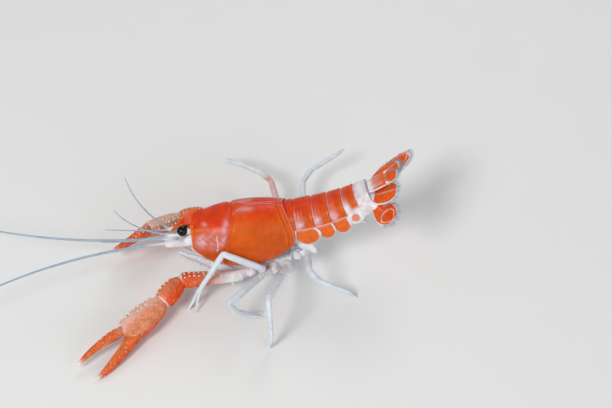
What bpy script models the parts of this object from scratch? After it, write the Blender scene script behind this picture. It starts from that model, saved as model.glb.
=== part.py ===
"""A red swamp crayfish, Procambarus clarkii, as a still life-size model in its walking pose.

Sizes are in millimetres and angles in degrees until an object is made.
The body frame has u along the body to the tail, v to the animal's right and w out of its back.
The head points to -X, the animal's left side faces -Y and its feet stand on z = 0.
"""

import math

import bmesh
import bpy
from mathutils import Matrix, Vector

MM = 0.001
GAP = 0.34
FOOT_RADIUS = 0.45

# Driving sizes: everything else is set from these.
SHIELD_LENGTH = 41.3
GIRTH = 1.0
FOOTPRINT_CENTRE = Vector((-49.12, -3.09, 0.0))

# How the body is held.
BODY_CENTRE = Vector((-7.5, 1.8, 19.5))
BODY_YAW = 6.0
BODY_PITCH = 3.5
BODY_ROLL = 15.0

# The shield along u: half-width, height of the back and depth of the belly side.
SHIELD_STATIONS = (-34.0, -31.5, -28.0, -24.0, -18.5, -12.0, -5.0, 0.0, 3.2)
SHIELD_HALF_WIDTH = (5.9, 7.0, 8.5, 9.9, 10.7, 10.9, 10.1, 8.9, 8.3)
SHIELD_BACK = (7.6, 8.5, 9.6, 10.6, 11.3, 11.5, 11.0, 10.1, 9.4)
SHIELD_DEPTH = (3.6, 5.0, 7.6, 9.9, 11.1, 11.3, 9.9, 7.2, 5.0)
BACK_SQUARENESS = 2.15
FLANK_SQUARENESS = 2.7
SHIELD_SIDES = 28

GROOVE_BACK = -17.5
GROOVE_SWEEP = 6.6
REAR_FLANK = 3.0
REAR_BELLY = -7.0
FRONT_FLANK = -33.2
FRONT_BELLY = -25.6
FACE_U = -30.8
REAR_FACE_U = -1.6

ROSTRUM_TIP = 0.7 - SHIELD_LENGTH
LEG_HALF_SPACE = 4.5
REAR_HALF_SPACE = 3.3
BELLY_W = -15.0
REAR_RISE = 3.8
HIP_U = {1: -14.0, 2: -9.6, 3: -5.7, 4: -0.9, 5: 3.4}
HIP_W = {1: -13.3, 2: -13.3, 3: -13.3, 4: -13.3, 5: -9.6}

# The abdomen: where it starts, the length of each somite and how far each end tilts up.
ABDOMEN_START = (-1.2, 2.4)
SOMITE_LENGTHS = (3.9, 6.3, 6.2, 6.0, 5.7, 5.5)
SOMITE_TILTS = (2.0, 4.0, 7.0, 11.0, 17.0, 23.0, 27.0)
ABDOMEN_HALF_WIDTHS = (6.0, 6.8, 8.0, 7.9, 7.4, 6.8, 5.9)
ABDOMEN_HEIGHTS = (5.5, 6.4, 7.1, 6.9, 6.5, 6.0, 5.2)
PLEURON_DEPTHS = (4.2, 7.2, 6.6, 6.6, 5.2, 3.9)
PLEURON_EDGE = 3.7
STERNUM_DEPTH = 3.0

PATH_STEP = 0.05
FAN_THICKNESS = 0.75

# Half-widths of the fan plates from hinge to end, on their outer and inner sides.
FAN_SHAPES = {
    "telson": ((3.4, 4.0, 4.1, 4.0, 3.7, 3.6, 3.2, 1.6), (3.4, 4.0, 4.1, 4.0, 3.7, 3.6, 3.2, 1.6)),
    "inner": ((1.0, 2.2, 3.0, 3.5, 3.6, 3.4, 2.6, 1.0), (1.0, 1.8, 2.4, 2.8, 3.0, 2.9, 2.3, 1.0)),
    "outer": ((1.0, 2.0, 2.8, 3.3, 3.6, 3.5, 2.7, 1.1), (1.0, 2.2, 3.0, 3.6, 3.9, 3.7, 2.8, 1.1)),
}

# Fan plates in the body frame: hinge, end, roll and shape.
FAN_PLATES = {
    "telson": ((30.7, 0.0, 12.6), (41.2, 0.0, 16.9), 0, "telson"),
    "uropod_inner_left": ((32.1, -3.5, 9.4), (39.9, -7.4, 13.2), 24, "inner"),
    "uropod_inner_right": ((31.8, 3.4, 11.0), (42.4, 6.8, 16.2), -6, "inner"),
    "uropod_outer_left": ((33.2, -5.6, 6.7), (37.2, -13.6, 5.0), 34, "outer"),
    "uropod_outer_right": ((32.4, 5.4, 9.7), (46.9, 11.6, 16.6), -8, "outer"),
}

EYE_RADIUS = 1.8
EYE_AT = (-36.1, 4.1, 6.15)

ANTENNA_RADIUS = 0.5
ANTENNA_TIP_RADIUS = 0.27

# Knots of each feeler's bend in the world, from the end of its stalk to its tip.
ANTENNAE = {
    "left": ((-50.0, -4.2, 17.0), (-78.0, -8.0, 17.0), (-104.0, -18.0, 17.0), (-131.0, -37.0, 14.0)),
    "right": ((-50.3, -2.6, 18.0), (-78.0, -5.6, 18.0), (-106.0, -2.6, 18.0), (-135.0, 8.0, 18.0)),
}
WHIPS = {
    "left": (((-61.0, -3.8, 23.4), (-67.0, -2.4, 33.2)), ((-60.0, -4.6, 18.0), (-72.0, -5.6, 19.4))),
    "right": (((-59.6, 1.2, 29.0), (-62.8, 4.6, 42.6)), ((-60.0, -1.0, 19.8), (-71.0, -1.7, 21.7))),
}

# Walking legs by number: lengths of hip, merus, carpus, propodus and dactyl.
LEG_LENGTHS = {
    2: (7.0, 16.5, 9.2, 10.8, 6.6),
    3: (10.6, 19.4, 7.0, 11.0, 4.6),
    4: (10.6, 19.6, 6.8, 11.6, 4.4),
    5: (4.0, 12.0, 6.8, 12.8, 4.2),
}
LEG_RADII = (1.55, 1.4, 1.12, 0.92, 0.7)

# How far the small fixed finger of a pincer leg stands to the side of its moving finger.
FINGER_SPREAD = {"left_2": 3.0, "left_3": -2.4, "right_2": -2.4, "right_3": 2.4}
HOOK_LENGTH = 1.9

# Each leg's pose: heading and climb of those five lengths. Heading 0 is +X and 90 is the far side.
LEG_POSES = {
    "left_2": ((-114, 18), (178, 49), (-146, -53), (-162, -60), (-133, -49)),
    "left_3": ((-122, 18), (-122, 18), (39, -67), (39, -49), (37, -19)),
    "left_4": ((-101, 28), (-104, 28), (-83, -65), (-76, -79), (-164, -76)),
    "left_5": ((-15, 22), (-87, 18), (2, -60), (0, -33), (12, -52)),
    "right_2": ((95, -4), (144, 63), (112, -60), (128, -50), (132, -42)),
    "right_3": ((64, 10), (106, 14), (129, -12), (147, -5), (145, -13)),
    "right_4": ((47, 13), (92, 9), (62, -1), (31, 11), (51, -11)),
    "right_5": ((53, 22), (50, 32), (60, -55), (45, -50), (40, -45)),
}

# Chelipeds: joints in the world, from the end of the ischium to the finger tips.
ARM_JOINTS = {
    "left": {
        "ischium": (-24.0, -10.9, 7.1),
        "elbow": (-44.6, -14.7, 9.0),
        "wrist": (-50.6, -23.2, 7.8),
        "knuckle": (-62.0, -34.6, 5.4),
        "fixed_tip": (-72.2, -51.3, 0.9),
        "moving_tip": (-78.7, -47.2, 2.9),
        "mesial": (-0.78, 0.48, 0.40),
        "scale": 1.0,
    },
    "right": {
        "ischium": (-22.0, 10.0, 4.4),
        "elbow": (-38.0, 20.6, 4.6),
        "wrist": (-46.4, 16.8, 5.4),
        "knuckle": (-57.2, 8.2, 9.6),
        "fixed_tip": (-70.0, 0.8, 5.4),
        "moving_tip": (-70.2, -1.4, 8.6),
        "mesial": (0.41, -0.42, 0.81),
        "scale": 0.92,
    },
}

COLOURS = {
    "shield_orange": (0.62, 0.09, 0.01, 1.0),
    "abdomen_orange": (0.70, 0.16, 0.04, 1.0),
    "fan_orange": (0.72, 0.22, 0.08, 1.0),
    "claw_salmon": (0.62, 0.20, 0.09, 1.0),
    "limb_white": (0.62, 0.68, 0.74, 1.0),
    "feeler_grey": (0.42, 0.52, 0.60, 1.0),
    "eye_black": (0.01, 0.01, 0.012, 1.0),
}

body = Matrix()


def clear_scene():
    """Removes whatever the file holds, so that only the model is left."""
    for thing in list(bpy.data.objects):
        bpy.data.objects.remove(thing, do_unlink=True)


def make_collection(name, hidden=False):
    made = bpy.data.collections.new(name)
    bpy.context.scene.collection.children.link(made)
    made.hide_render = hidden
    return made


def make_materials():
    made = {}
    for name, colour in COLOURS.items():
        material = bpy.data.materials.new(name)
        material.use_nodes = True
        shader = material.node_tree.nodes["Principled BSDF"]
        shader.inputs["Base Color"].default_value = colour
        shader.inputs["Roughness"].default_value = 0.15 if name == "eye_black" else 0.4
        material.diffuse_color = colour
        made[name] = material
    return made


def turned_frame(yaw, pitch, roll):
    """The turn that tilts the tail up by pitch and leans the back to the far side by roll."""
    turn = Matrix.Rotation(math.radians(yaw), 4, "Z")
    turn = turn @ Matrix.Rotation(-math.radians(pitch), 4, "Y")
    return turn @ Matrix.Rotation(-math.radians(roll), 4, "X")


def at_body(u, v, w):
    """A body-frame point in the world."""
    return body @ Vector((u, v, w))


def between(stations, values, at):
    """A size read off straight lines between its stations."""
    if at <= stations[0]:
        return values[0]
    for low, high, a, b in zip(stations, stations[1:], values, values[1:]):
        if at <= high:
            share = (at - low) / (high - low)
            return a + (b - a) * share
    return values[-1]


def oval(angle, half_width, up, down):
    """A point of the shield's section: rounder on the back and squarer on the flanks."""
    power = BACK_SQUARENESS if math.sin(angle) >= 0 else FLANK_SQUARENESS
    height = up if math.sin(angle) >= 0 else down
    side = math.copysign(abs(math.cos(angle)) ** (2 / power), math.cos(angle))
    rise = math.copysign(abs(math.sin(angle)) ** (2 / power), math.sin(angle))
    return half_width * side, height * rise


def finish_mesh(mesh_builder, name, material, anchor):
    """Makes a bmesh in millimetres an object in metres, with its origin at the anchor."""
    bmesh.ops.recalc_face_normals(mesh_builder, faces=mesh_builder.faces[:])
    bmesh.ops.triangulate(mesh_builder, faces=mesh_builder.faces[:])
    centred = Vector(anchor)
    for vertex in mesh_builder.verts:
        vertex.co = (vertex.co - centred) * MM
    mesh = bpy.data.meshes.new(name)
    mesh_builder.to_mesh(mesh)
    mesh_builder.free()
    mesh.materials.append(materials[material])
    mesh.shade_smooth()
    mesh.set_sharp_from_angle(angle=math.radians(40))
    made = bpy.data.objects.new(name, mesh)
    made.location = (centred - FOOTPRINT_CENTRE) * MM
    crayfish.objects.link(made)
    made.parent = stand_point
    return made


def loft(name, rings, material, anchor=None, caps=(None, None)):
    """A closed body through rings of equally many points, its ends closed round a middle point."""
    builder = bmesh.new()
    rows = [[builder.verts.new(point) for point in ring] for ring in rings]
    for first, second in zip(rows, rows[1:]):
        for i in range(len(first)):
            j = (i + 1) % len(first)
            builder.faces.new((first[i], first[j], second[j], second[i]))
    for row, ring, cap in ((rows[0], rings[0], caps[0]), (rows[-1], rings[-1], caps[1])):
        middle = cap if cap is not None else sum(ring, Vector()) / len(ring)
        centre = builder.verts.new(middle)
        for i in range(len(row)):
            builder.faces.new((row[i], row[(i + 1) % len(row)], centre))
    start = anchor if anchor is not None else sum(rings[0], Vector()) / len(rings[0])
    return finish_mesh(builder, name, material, start)


def sheet_solid(name, top, bottom, material, anchor):
    """A closed plate between two grids of points, cut into triangles alike on both faces."""
    builder = bmesh.new()
    upper = [[builder.verts.new(point) for point in row] for row in top]
    lower = [[builder.verts.new(point) for point in row] for row in bottom]
    last_row = len(top) - 1
    last_column = len(top[0]) - 1
    for i in range(last_row):
        for j in range(last_column):
            for grid in (upper, lower):
                a, b, c, d = grid[i][j], grid[i][j + 1], grid[i + 1][j + 1], grid[i + 1][j]
                builder.faces.new((a, b, c))
                builder.faces.new((a, c, d))
    for i in range(last_row):
        for j in (0, last_column):
            builder.faces.new((upper[i][j], upper[i + 1][j], lower[i + 1][j], lower[i][j]))
    for j in range(last_column):
        for i in (0, last_row):
            builder.faces.new((upper[i][j], upper[i][j + 1], lower[i][j + 1], lower[i][j]))
    return finish_mesh(builder, name, material, anchor)


def ring_about(centre, tangent, side, wide, thin, count, phase=0.0):
    """An oval ring round a path: wide along side and thin across it."""
    forward = tangent.normalized()
    across = (side - side.dot(forward) * forward).normalized()
    over = forward.cross(across)
    points = []
    for i in range(count):
        angle = 2 * math.pi * (i + phase) / count
        points.append(centre + across * wide * math.cos(angle) + over * thin * math.sin(angle))
    return points


def limb(name, stations, material, side=None, sides=8, facing=(None, None)):
    """A tapered oval tube through stations, each a point with its wide and thin radius.

    Facing gives the directions of its first and last rings where a joint sets them.
    """
    points = [Vector(station[0]) for station in stations]
    tangents = []
    for i, point in enumerate(points):
        before = (point - points[i - 1]).normalized() if i else Vector()
        after = (points[i + 1] - point).normalized() if i + 1 < len(points) else Vector()
        tangents.append((before + after).normalized())
    tangents[0] = facing[0] or tangents[0]
    tangents[-1] = facing[1] or tangents[-1]
    across = Vector(side) if side is not None else Vector((0, 0, 1))
    rings = []
    for point, tangent, station in zip(points, tangents, stations):
        across = (across - across.dot(tangent) * tangent).normalized()
        rings.append(ring_about(point, tangent, across, station[1], station[2], sides))
    return loft(name, rings, material, anchor=points[0])


def halfway(before, joint, after):
    """The direction a joint's two facing ends share, halfway between its lengths."""
    return ((joint - before).normalized() + (after - joint).normalized()).normalized()


def spike(base, tip, radius, sides=5):
    """A small spine for joining to a body: a loft whose root is sunk below base."""
    direction = (tip - base).normalized()
    side = direction.orthogonal()
    root = base - direction * radius
    rings = [
        ring_about(root, direction, side, radius, radius, sides),
        ring_about(base, direction, side, radius, radius, sides),
        ring_about(tip, direction, side, radius * 0.22, radius * 0.22, sides),
    ]
    return loft("spine", rings, "limb_white")


def spine_row(first, last, side, angle, count, height, radius):
    """Spines along an oval tube between two of its stations, at one angle round it from side."""
    along = (last[0] - first[0]).normalized()
    across = (side - side.dot(along) * along).normalized()
    over = along.cross(across)
    turn = math.radians(angle)
    out = across * math.cos(turn) + over * math.sin(turn)
    row = []
    for i in range(count):
        share = (i + 0.5) / count
        wide = first[1] + (last[1] - first[1]) * share
        thin = first[2] + (last[2] - first[2]) * share
        centre = first[0].lerp(last[0], share)
        base = centre + (across * wide * math.cos(turn) + over * thin * math.sin(turn)) * 0.92
        row.append(spike(base, base + out * height + along * height * 0.5, radius))
    return row


def fuse(target, pieces, solver="EXACT"):
    """Joins pieces to the target by one Boolean union and keeps the largest closed surface."""
    if not pieces:
        return target
    for piece in pieces:
        crayfish.objects.unlink(piece)
        joining.objects.link(piece)
    modifier = target.modifiers.new("join", "BOOLEAN")
    modifier.operation = "UNION"
    modifier.operand_type = "COLLECTION"
    modifier.collection = joining
    modifier.solver = solver
    bpy.context.view_layer.update()
    graph = bpy.context.evaluated_depsgraph_get()
    joined = bpy.data.meshes.new_from_object(target.evaluated_get(graph))
    target.modifiers.clear()
    target.data = joined
    for piece in pieces:
        bpy.data.objects.remove(piece, do_unlink=True)
    keep_largest(joined)
    return target


def keep_largest(mesh):
    """Drops every closed surface of the mesh but the one with the most volume."""
    builder = bmesh.new()
    builder.from_mesh(mesh)
    bmesh.ops.remove_doubles(builder, verts=builder.verts[:], dist=0.000002)
    unseen = set(builder.verts)
    islands = []
    while unseen:
        grown = [unseen.pop()]
        island = set(grown)
        while grown:
            for edge in grown.pop().link_edges:
                for other in edge.verts:
                    if other in unseen:
                        unseen.discard(other)
                        island.add(other)
                        grown.append(other)
        islands.append(island)

    def reach(island):
        low = [min(v.co[axis] for v in island) for axis in range(3)]
        high = [max(v.co[axis] for v in island) for axis in range(3)]
        return math.prod(b - a + 1e-6 for a, b in zip(low, high))

    islands.sort(key=reach)
    for island in islands[:-1]:
        bmesh.ops.delete(builder, geom=list(island), context="VERTS")
    bmesh.ops.triangulate(builder, faces=builder.faces[:])
    builder.to_mesh(mesh)
    builder.free()


def below(angle):
    """How far a section angle lies below the widest line: 0 there and above, 1 at the belly."""
    return max(0.0, -math.sin(angle))


def groove_u(angle):
    """The neck groove runs forward from the back to the flank."""
    return GROOVE_BACK - GROOVE_SWEEP * (0.5 - 0.5 * math.sin(angle)) ** 0.75


def rear_u(angle):
    """The rear edge bows back over the flank and cuts forward under the belly."""
    flank = REAR_FLANK * (1 - max(0.0, math.sin(angle)) ** 2)
    return flank + (REAR_BELLY - REAR_FLANK) * below(angle) ** 3


def front_u(angle):
    """The front edge stands at the eye and slopes back to the mouth below."""
    return FRONT_FLANK + (FRONT_BELLY - FRONT_FLANK) * below(angle) ** 1.5


def shield_point(u, angle, scale=1.0, at_u=None):
    half = between(SHIELD_STATIONS, SHIELD_HALF_WIDTH, u) * GIRTH
    up = between(SHIELD_STATIONS, SHIELD_BACK, u) * GIRTH
    down = between(SHIELD_STATIONS, SHIELD_DEPTH, u) * GIRTH
    v, w = oval(angle, half * scale, up * scale, down * scale)
    return at_body(u if at_u is None else at_u, v, w)


def shield_rings(from_u, to_u, steps):
    """Rings whose ends follow the two edge curves."""
    rings = []
    for step in range(steps + 1):
        share = step / steps
        ring = []
        for i in range(SHIELD_SIDES):
            angle = 2 * math.pi * i / SHIELD_SIDES + math.pi / 2
            u = from_u(angle) * (1 - share) + to_u(angle) * share
            ring.append(shield_point(u, angle))
        rings.append(ring)
    return rings


def inner_rings(edge_u, scale, toward, face_u):
    """The turned-in edge of the shield and the ring where it meets the flat face inside."""
    edge = []
    face = []
    for i in range(SHIELD_SIDES):
        angle = 2 * math.pi * i / SHIELD_SIDES + math.pi / 2
        u = edge_u(angle)
        edge.append(shield_point(u, angle, scale=scale, at_u=u + toward))
        face.append(shield_point(face_u, angle, scale=scale * 0.97))
    return edge, face


def make_head():
    rings = shield_rings(front_u, lambda angle: groove_u(angle) - GAP / 2, 9)
    edge, face = inner_rings(front_u, 0.91, 0.5, FACE_U)
    rings = [face, edge] + rings
    head = loft("head_shield", rings, "shield_orange", anchor=at_body(-20, 0, 0))
    rostrum = make_rostrum()
    spines = [rostrum]
    for sign in (-1, 1):
        spines.append(spike(at_body(-31.4, sign * 4.6, 7.4), at_body(-33.8, sign * 4.4, 8.1), 0.5))
        cheek = shield_point(-24.3, math.pi / 2 - sign * math.radians(86))
        out = (cheek - at_body(-24.3, 0, 0)).normalized()
        ahead = at_body(-1, 0, 0) - at_body(0, 0, 0)
        spines.append(spike(cheek - out * 0.3, cheek + out * 0.9 + ahead * 1.1, 0.5))
    return fuse(head, spines, solver="MANIFOLD")


def make_rostrum():
    """The beak: a hollow-topped plate that narrows to a bent-down tip with a spine each side."""
    stations = (
        (-28.6, 3.6, 9.7, 3.4),
        (-32.0, 3.6, 9.0, 1.9),
        (-34.2, 3.0, 8.2, 1.2),
        (-36.2, 2.0, 7.2, 1.3),
        (-36.7, 1.4, 6.9, 1.2),
        (-38.4, 0.9, 5.6, 0.9),
        (ROSTRUM_TIP, 0.3, 3.7, 0.5),
    )
    rings = []
    for u, half, top, thick in stations:
        ring = [
            at_body(u, -half, top),
            at_body(u, -0.6 * half, top - 0.22 * half),
            at_body(u, 0, top - 0.3 * half),
            at_body(u, 0.6 * half, top - 0.22 * half),
            at_body(u, half, top),
            at_body(u, 0.75 * half, top - thick),
            at_body(u, 0, top - thick - 0.25 * half),
            at_body(u, -0.75 * half, top - thick),
        ]
        rings.append(ring)
    return loft("rostrum", rings, "shield_orange")


def make_thorax():
    rings = shield_rings(lambda angle: groove_u(angle) + GAP / 2, rear_u, 10)
    edge, face = inner_rings(rear_u, 0.9, -0.3, REAR_FACE_U)
    rings = rings + [edge, face]
    return loft("thorax_shield", rings, "shield_orange", anchor=at_body(-10, 0, 0))


def make_underside():
    """The sternum: a keel under the shield with flat sides that the legs meet."""
    rings = []
    stations = (
        (-27.0, 1.8, 1.3),
        (-22.0, 2.6, 2.2),
        (-17.6, 3.4, 3.0),
        (-15.7, LEG_HALF_SPACE, 3.2),
        (-11.0, LEG_HALF_SPACE, 3.6),
        (-5.0, LEG_HALF_SPACE, 4.2),
        (0.6, LEG_HALF_SPACE, 4.6),
        (1.6, REAR_HALF_SPACE, 4.8),
        (5.0, REAR_HALF_SPACE, 4.4),
        (5.8, 2.4, 3.6),
    )
    for u, half, tall in stations:
        roof = -between(SHIELD_STATIONS, SHIELD_DEPTH, u) * GIRTH - GAP * 2
        belly = BELLY_W + REAR_RISE if u > 1 else BELLY_W
        roof = max(min(roof, belly + tall), belly + 1.5) if u > -10 else roof
        floor = max(belly, roof - tall)
        keel = floor - 0.5
        ring = [
            at_body(u, -half, roof),
            at_body(u, -half, floor + 0.3),
            at_body(u, -half * 0.6, floor),
            at_body(u, 0, keel),
            at_body(u, half * 0.6, floor),
            at_body(u, half, floor + 0.3),
            at_body(u, half, roof),
            at_body(u, 0, roof),
        ]
        rings.append(ring)
    return loft("thorax_underside", rings, "limb_white", anchor=at_body(-8, 0, -13))


def abdomen_path():
    """Frames along the abdomen in small steps, each tilted up as the tail bends."""
    ends = [0.0]
    for length in SOMITE_LENGTHS:
        ends.append(ends[-1] + length)
    point = Vector((ABDOMEN_START[0], 0, ABDOMEN_START[1]))
    path = []
    for index in range(int(ends[-1] / PATH_STEP) + 8):
        at = index * PATH_STEP
        turn = Matrix.Rotation(-math.radians(between(ends, SOMITE_TILTS, at)), 4, "Y")
        path.append(body @ Matrix.Translation(point) @ turn)
        point = point + turn @ Vector((PATH_STEP, 0, 0))
    return ends, path


def path_at(path, at):
    return path[min(int(round(at / PATH_STEP)), len(path) - 1)]


def abdomen_point(path, at, v, height):
    """A point of the abdomen at v to the side and height above its axis."""
    return path_at(path, at) @ Vector((0, v, height))


def pleuron_depth(number, share):
    """Each side plate hangs in a rounded lobe, deepest a little behind its middle."""
    lobe = max(0.0, 1 - abs(2 * share - 1.08) ** 2.4)
    deep = PLEURON_DEPTHS[number - 1]
    return PLEURON_EDGE + (deep - PLEURON_EDGE) * lobe


def abdomen_ring(path, ends, number, share, at):
    half = between(ends, ABDOMEN_HALF_WIDTHS, at) * (0.965 + 0.035 * share)
    tall = between(ends, ABDOMEN_HEIGHTS, at) * (0.965 + 0.035 * share)
    deep = pleuron_depth(number, share)
    ring = []
    arch_points = 14
    for i in range(arch_points + 1):
        angle = math.pi * i / arch_points
        side = math.copysign(abs(math.cos(angle)) ** (2 / 2.3), math.cos(angle))
        ring.append((half * side, tall * math.sin(angle) ** (2 / 2.3)))
    ring.append((-half * 1.0, -0.5 * deep))
    ring.append((-half * 0.93, -deep))
    ring.append((-half * 0.8, -deep + 0.1))
    ring.append((-half * 0.72, -STERNUM_DEPTH))
    ring.append((0.0, -STERNUM_DEPTH - 0.4))
    ring.append((half * 0.72, -STERNUM_DEPTH))
    ring.append((half * 0.8, -deep + 0.1))
    ring.append((half * 0.93, -deep))
    ring.append((half * 1.0, -0.5 * deep))
    return [abdomen_point(path, at, v, height) for v, height in ring]


def make_swimmeret(path, at, sign, name):
    """A small flat paddle that hangs back under a somite."""
    stations = []
    for share, wide in ((0.0, 0.7), (0.35, 0.8), (0.7, 1.0), (1.0, 0.4)):
        drop = -STERNUM_DEPTH + 0.8 - 5.2 * share
        point = abdomen_point(path, at - 1.6 + 3.0 * share, sign * (3.6 + 0.9 * share), drop)
        stations.append((point, wide, 0.38))
    ahead = at_body(1, 0, 0) - at_body(0, 0, 0)
    return limb(name, stations, "limb_white", side=ahead, sides=6)


def make_abdomen():
    ends, path = abdomen_path()
    for number in range(1, 7):
        start = ends[number - 1] + GAP / 2
        stop = ends[number] - GAP / 2
        steps = 4 if number == 1 else 6
        rings = []
        for step in range(steps + 1):
            share = step / steps
            at = start + (stop - start) * share
            rings.append(abdomen_ring(path, ends, number, share, at))
        anchor = abdomen_point(path, start, 0, 0)
        somite = loft(f"abdomen_{number}", rings, "abdomen_orange", anchor=anchor)
        if 2 <= number <= 5:
            middle = (start + stop) / 2
            paddles = [make_swimmeret(path, middle, sign, "paddle") for sign in (-1, 1)]
            fuse(somite, paddles, solver="MANIFOLD")


def blade(name, frame, length, half_widths, anchor, skew=0.0, dome=0.5, ridges=(0.5,)):
    """A fan plate: x runs out along its length, y across it and z is its upper side."""
    rows = 10
    columns = 8
    top = []
    bottom = []
    for i in range(rows + 1):
        share = i / rows
        left = between_shares(half_widths[0], share)
        right = between_shares(half_widths[1], share)
        top_row = []
        bottom_row = []
        for j in range(columns + 1):
            across = j / columns
            y = -right + (left + right) * across
            round_off = 1 - (2 * across - 1) ** 2
            ridge = sum(0.28 * max(0.0, 1 - abs(across - place) * columns) for place in ridges)
            rise = dome * round_off * (0.4 + 0.6 * share)
            reach = length * share - skew * abs(2 * across - 1) ** 2 * share
            thick = FAN_THICKNESS * (1.0 - 0.25 * share)
            top_row.append(frame @ Vector((reach, y, rise + thick / 2 + ridge * (1 - 0.6 * share))))
            bottom_row.append(frame @ Vector((reach, y, rise - thick / 2)))
        top.append(top_row)
        bottom.append(bottom_row)
    return sheet_solid(name, top, bottom, "fan_orange", anchor)


def between_shares(values, share):
    stations = [i / (len(values) - 1) for i in range(len(values))]
    return between(stations, values, share)


def fan_frame(base, tip, roll):
    """The frame of a fan plate from its hinge to its end, rolled about that line."""
    along = (tip - base).normalized()
    upward = at_body(0, 0, 1) - at_body(0, 0, 0)
    over = (upward - upward.dot(along) * along).normalized()
    flat = Matrix((along, over.cross(along), over)).transposed().to_4x4()
    return Matrix.Translation(base) @ flat @ Matrix.Rotation(math.radians(roll), 4, "X")


def make_tail_fan():
    for name, (base, tip, roll, shape) in FAN_PLATES.items():
        base = at_body(*base)
        tip = at_body(*tip)
        outer, inner = FAN_SHAPES[shape]
        pair = (inner, outer) if name.endswith("left") else (outer, inner)
        ridges = (0.25, 0.75) if name == "telson" else (0.5,)
        frame = fan_frame(base, tip, roll)
        blade(name, frame, (tip - base).length, pair, base, 0.5, 0.6, ridges)


def heading_vector(heading, climb):
    flat = math.cos(math.radians(climb))
    turn = math.radians(heading)
    return Vector((flat * math.cos(turn), flat * math.sin(turn), math.sin(math.radians(climb))))


def hip_point(number, sign):
    """Where a limb's first ring faces the side of the sternum."""
    half = REAR_HALF_SPACE if number == 5 else LEG_HALF_SPACE
    return at_body(HIP_U[number], sign * (half + GAP), HIP_W[number])


def make_leg(word, number):
    """A walking leg as two nodes: coxa to merus, and carpus to a dactyl cut level at the floor."""
    sign = -1 if word == "left" else 1
    lengths = LEG_LENGTHS[number]
    pose = LEG_POSES[f"{word}_{number}"]
    start = hip_point(number, sign)
    out = (at_body(0, sign, 0) - at_body(0, 0, 0)).normalized()
    joints = [start]
    for length, (heading, climb) in zip(lengths, pose):
        joints.append(joints[-1] + heading_vector(heading, climb) * length)
    stands = not (word == "right" and number in (3, 4))
    if stands:
        joints[-1].z = 0.0
    hip, ischium, knee, wrist, finger, tip = joints
    coxa, merus, carpus, propodus, dactyl = LEG_RADII
    square = halfway(ischium, knee, wrist)
    upper = [
        (hip, coxa, coxa),
        (hip + out * 1.6, coxa, coxa),
        (hip.lerp(ischium, 0.6) + out * 0.3, coxa * 0.86, coxa * 0.86),
        (ischium, merus * 0.85, merus * 0.8),
        (ischium.lerp(knee, 0.12), merus, merus * 0.85),
        (ischium.lerp(knee, 0.6), merus * 0.95, merus * 0.8),
        (knee - (knee - ischium).normalized() * 2.7, merus * 0.85, merus * 0.75),
        (knee - square * GAP / 2, merus * 0.7, merus * 0.64),
    ]
    thigh = limb(f"leg_{word}_{number}_upper", upper, "limb_white", facing=(out, square))
    if number in (3, 4):
        tailward = (at_body(1, 0, 0) - at_body(0, 0, 0)).normalized()
        root = hip.lerp(ischium, 0.8) + tailward * coxa * 0.7
        fuse(thigh, [spike(root, root + (tailward + out * 0.6) * HOOK_LENGTH, 0.5)])
    lower = [
        (knee + square * GAP / 2, carpus * 0.8, carpus * 0.75),
        (knee.lerp(wrist, 0.33), carpus, carpus * 0.9),
        (wrist, carpus * 0.92, carpus * 0.85),
        (wrist.lerp(finger, 0.15), propodus * 1.02, propodus * 0.9),
        (wrist.lerp(finger, 0.7), propodus, propodus * 0.85),
        (finger, dactyl, dactyl),
        (finger.lerp(tip, 0.5), dactyl * 0.72, dactyl * 0.72),
        (tip, FOOT_RADIUS, FOOT_RADIUS),
    ]
    ends = (square, Vector((0, 0, -1)) if stands else None)
    shin = limb(f"leg_{word}_{number}_lower", lower, "limb_white", facing=ends)
    spread = FINGER_SPREAD.get(f"{word}_{number}")
    if spread:
        aside = heading_vector(pose[4][0] + 90, 0) * spread
        fork = wrist.lerp(finger, 0.75) + aside * 0.12
        fuse(shin, [spike(fork, finger.lerp(tip, 0.86) + aside, propodus * 0.75)])


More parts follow.
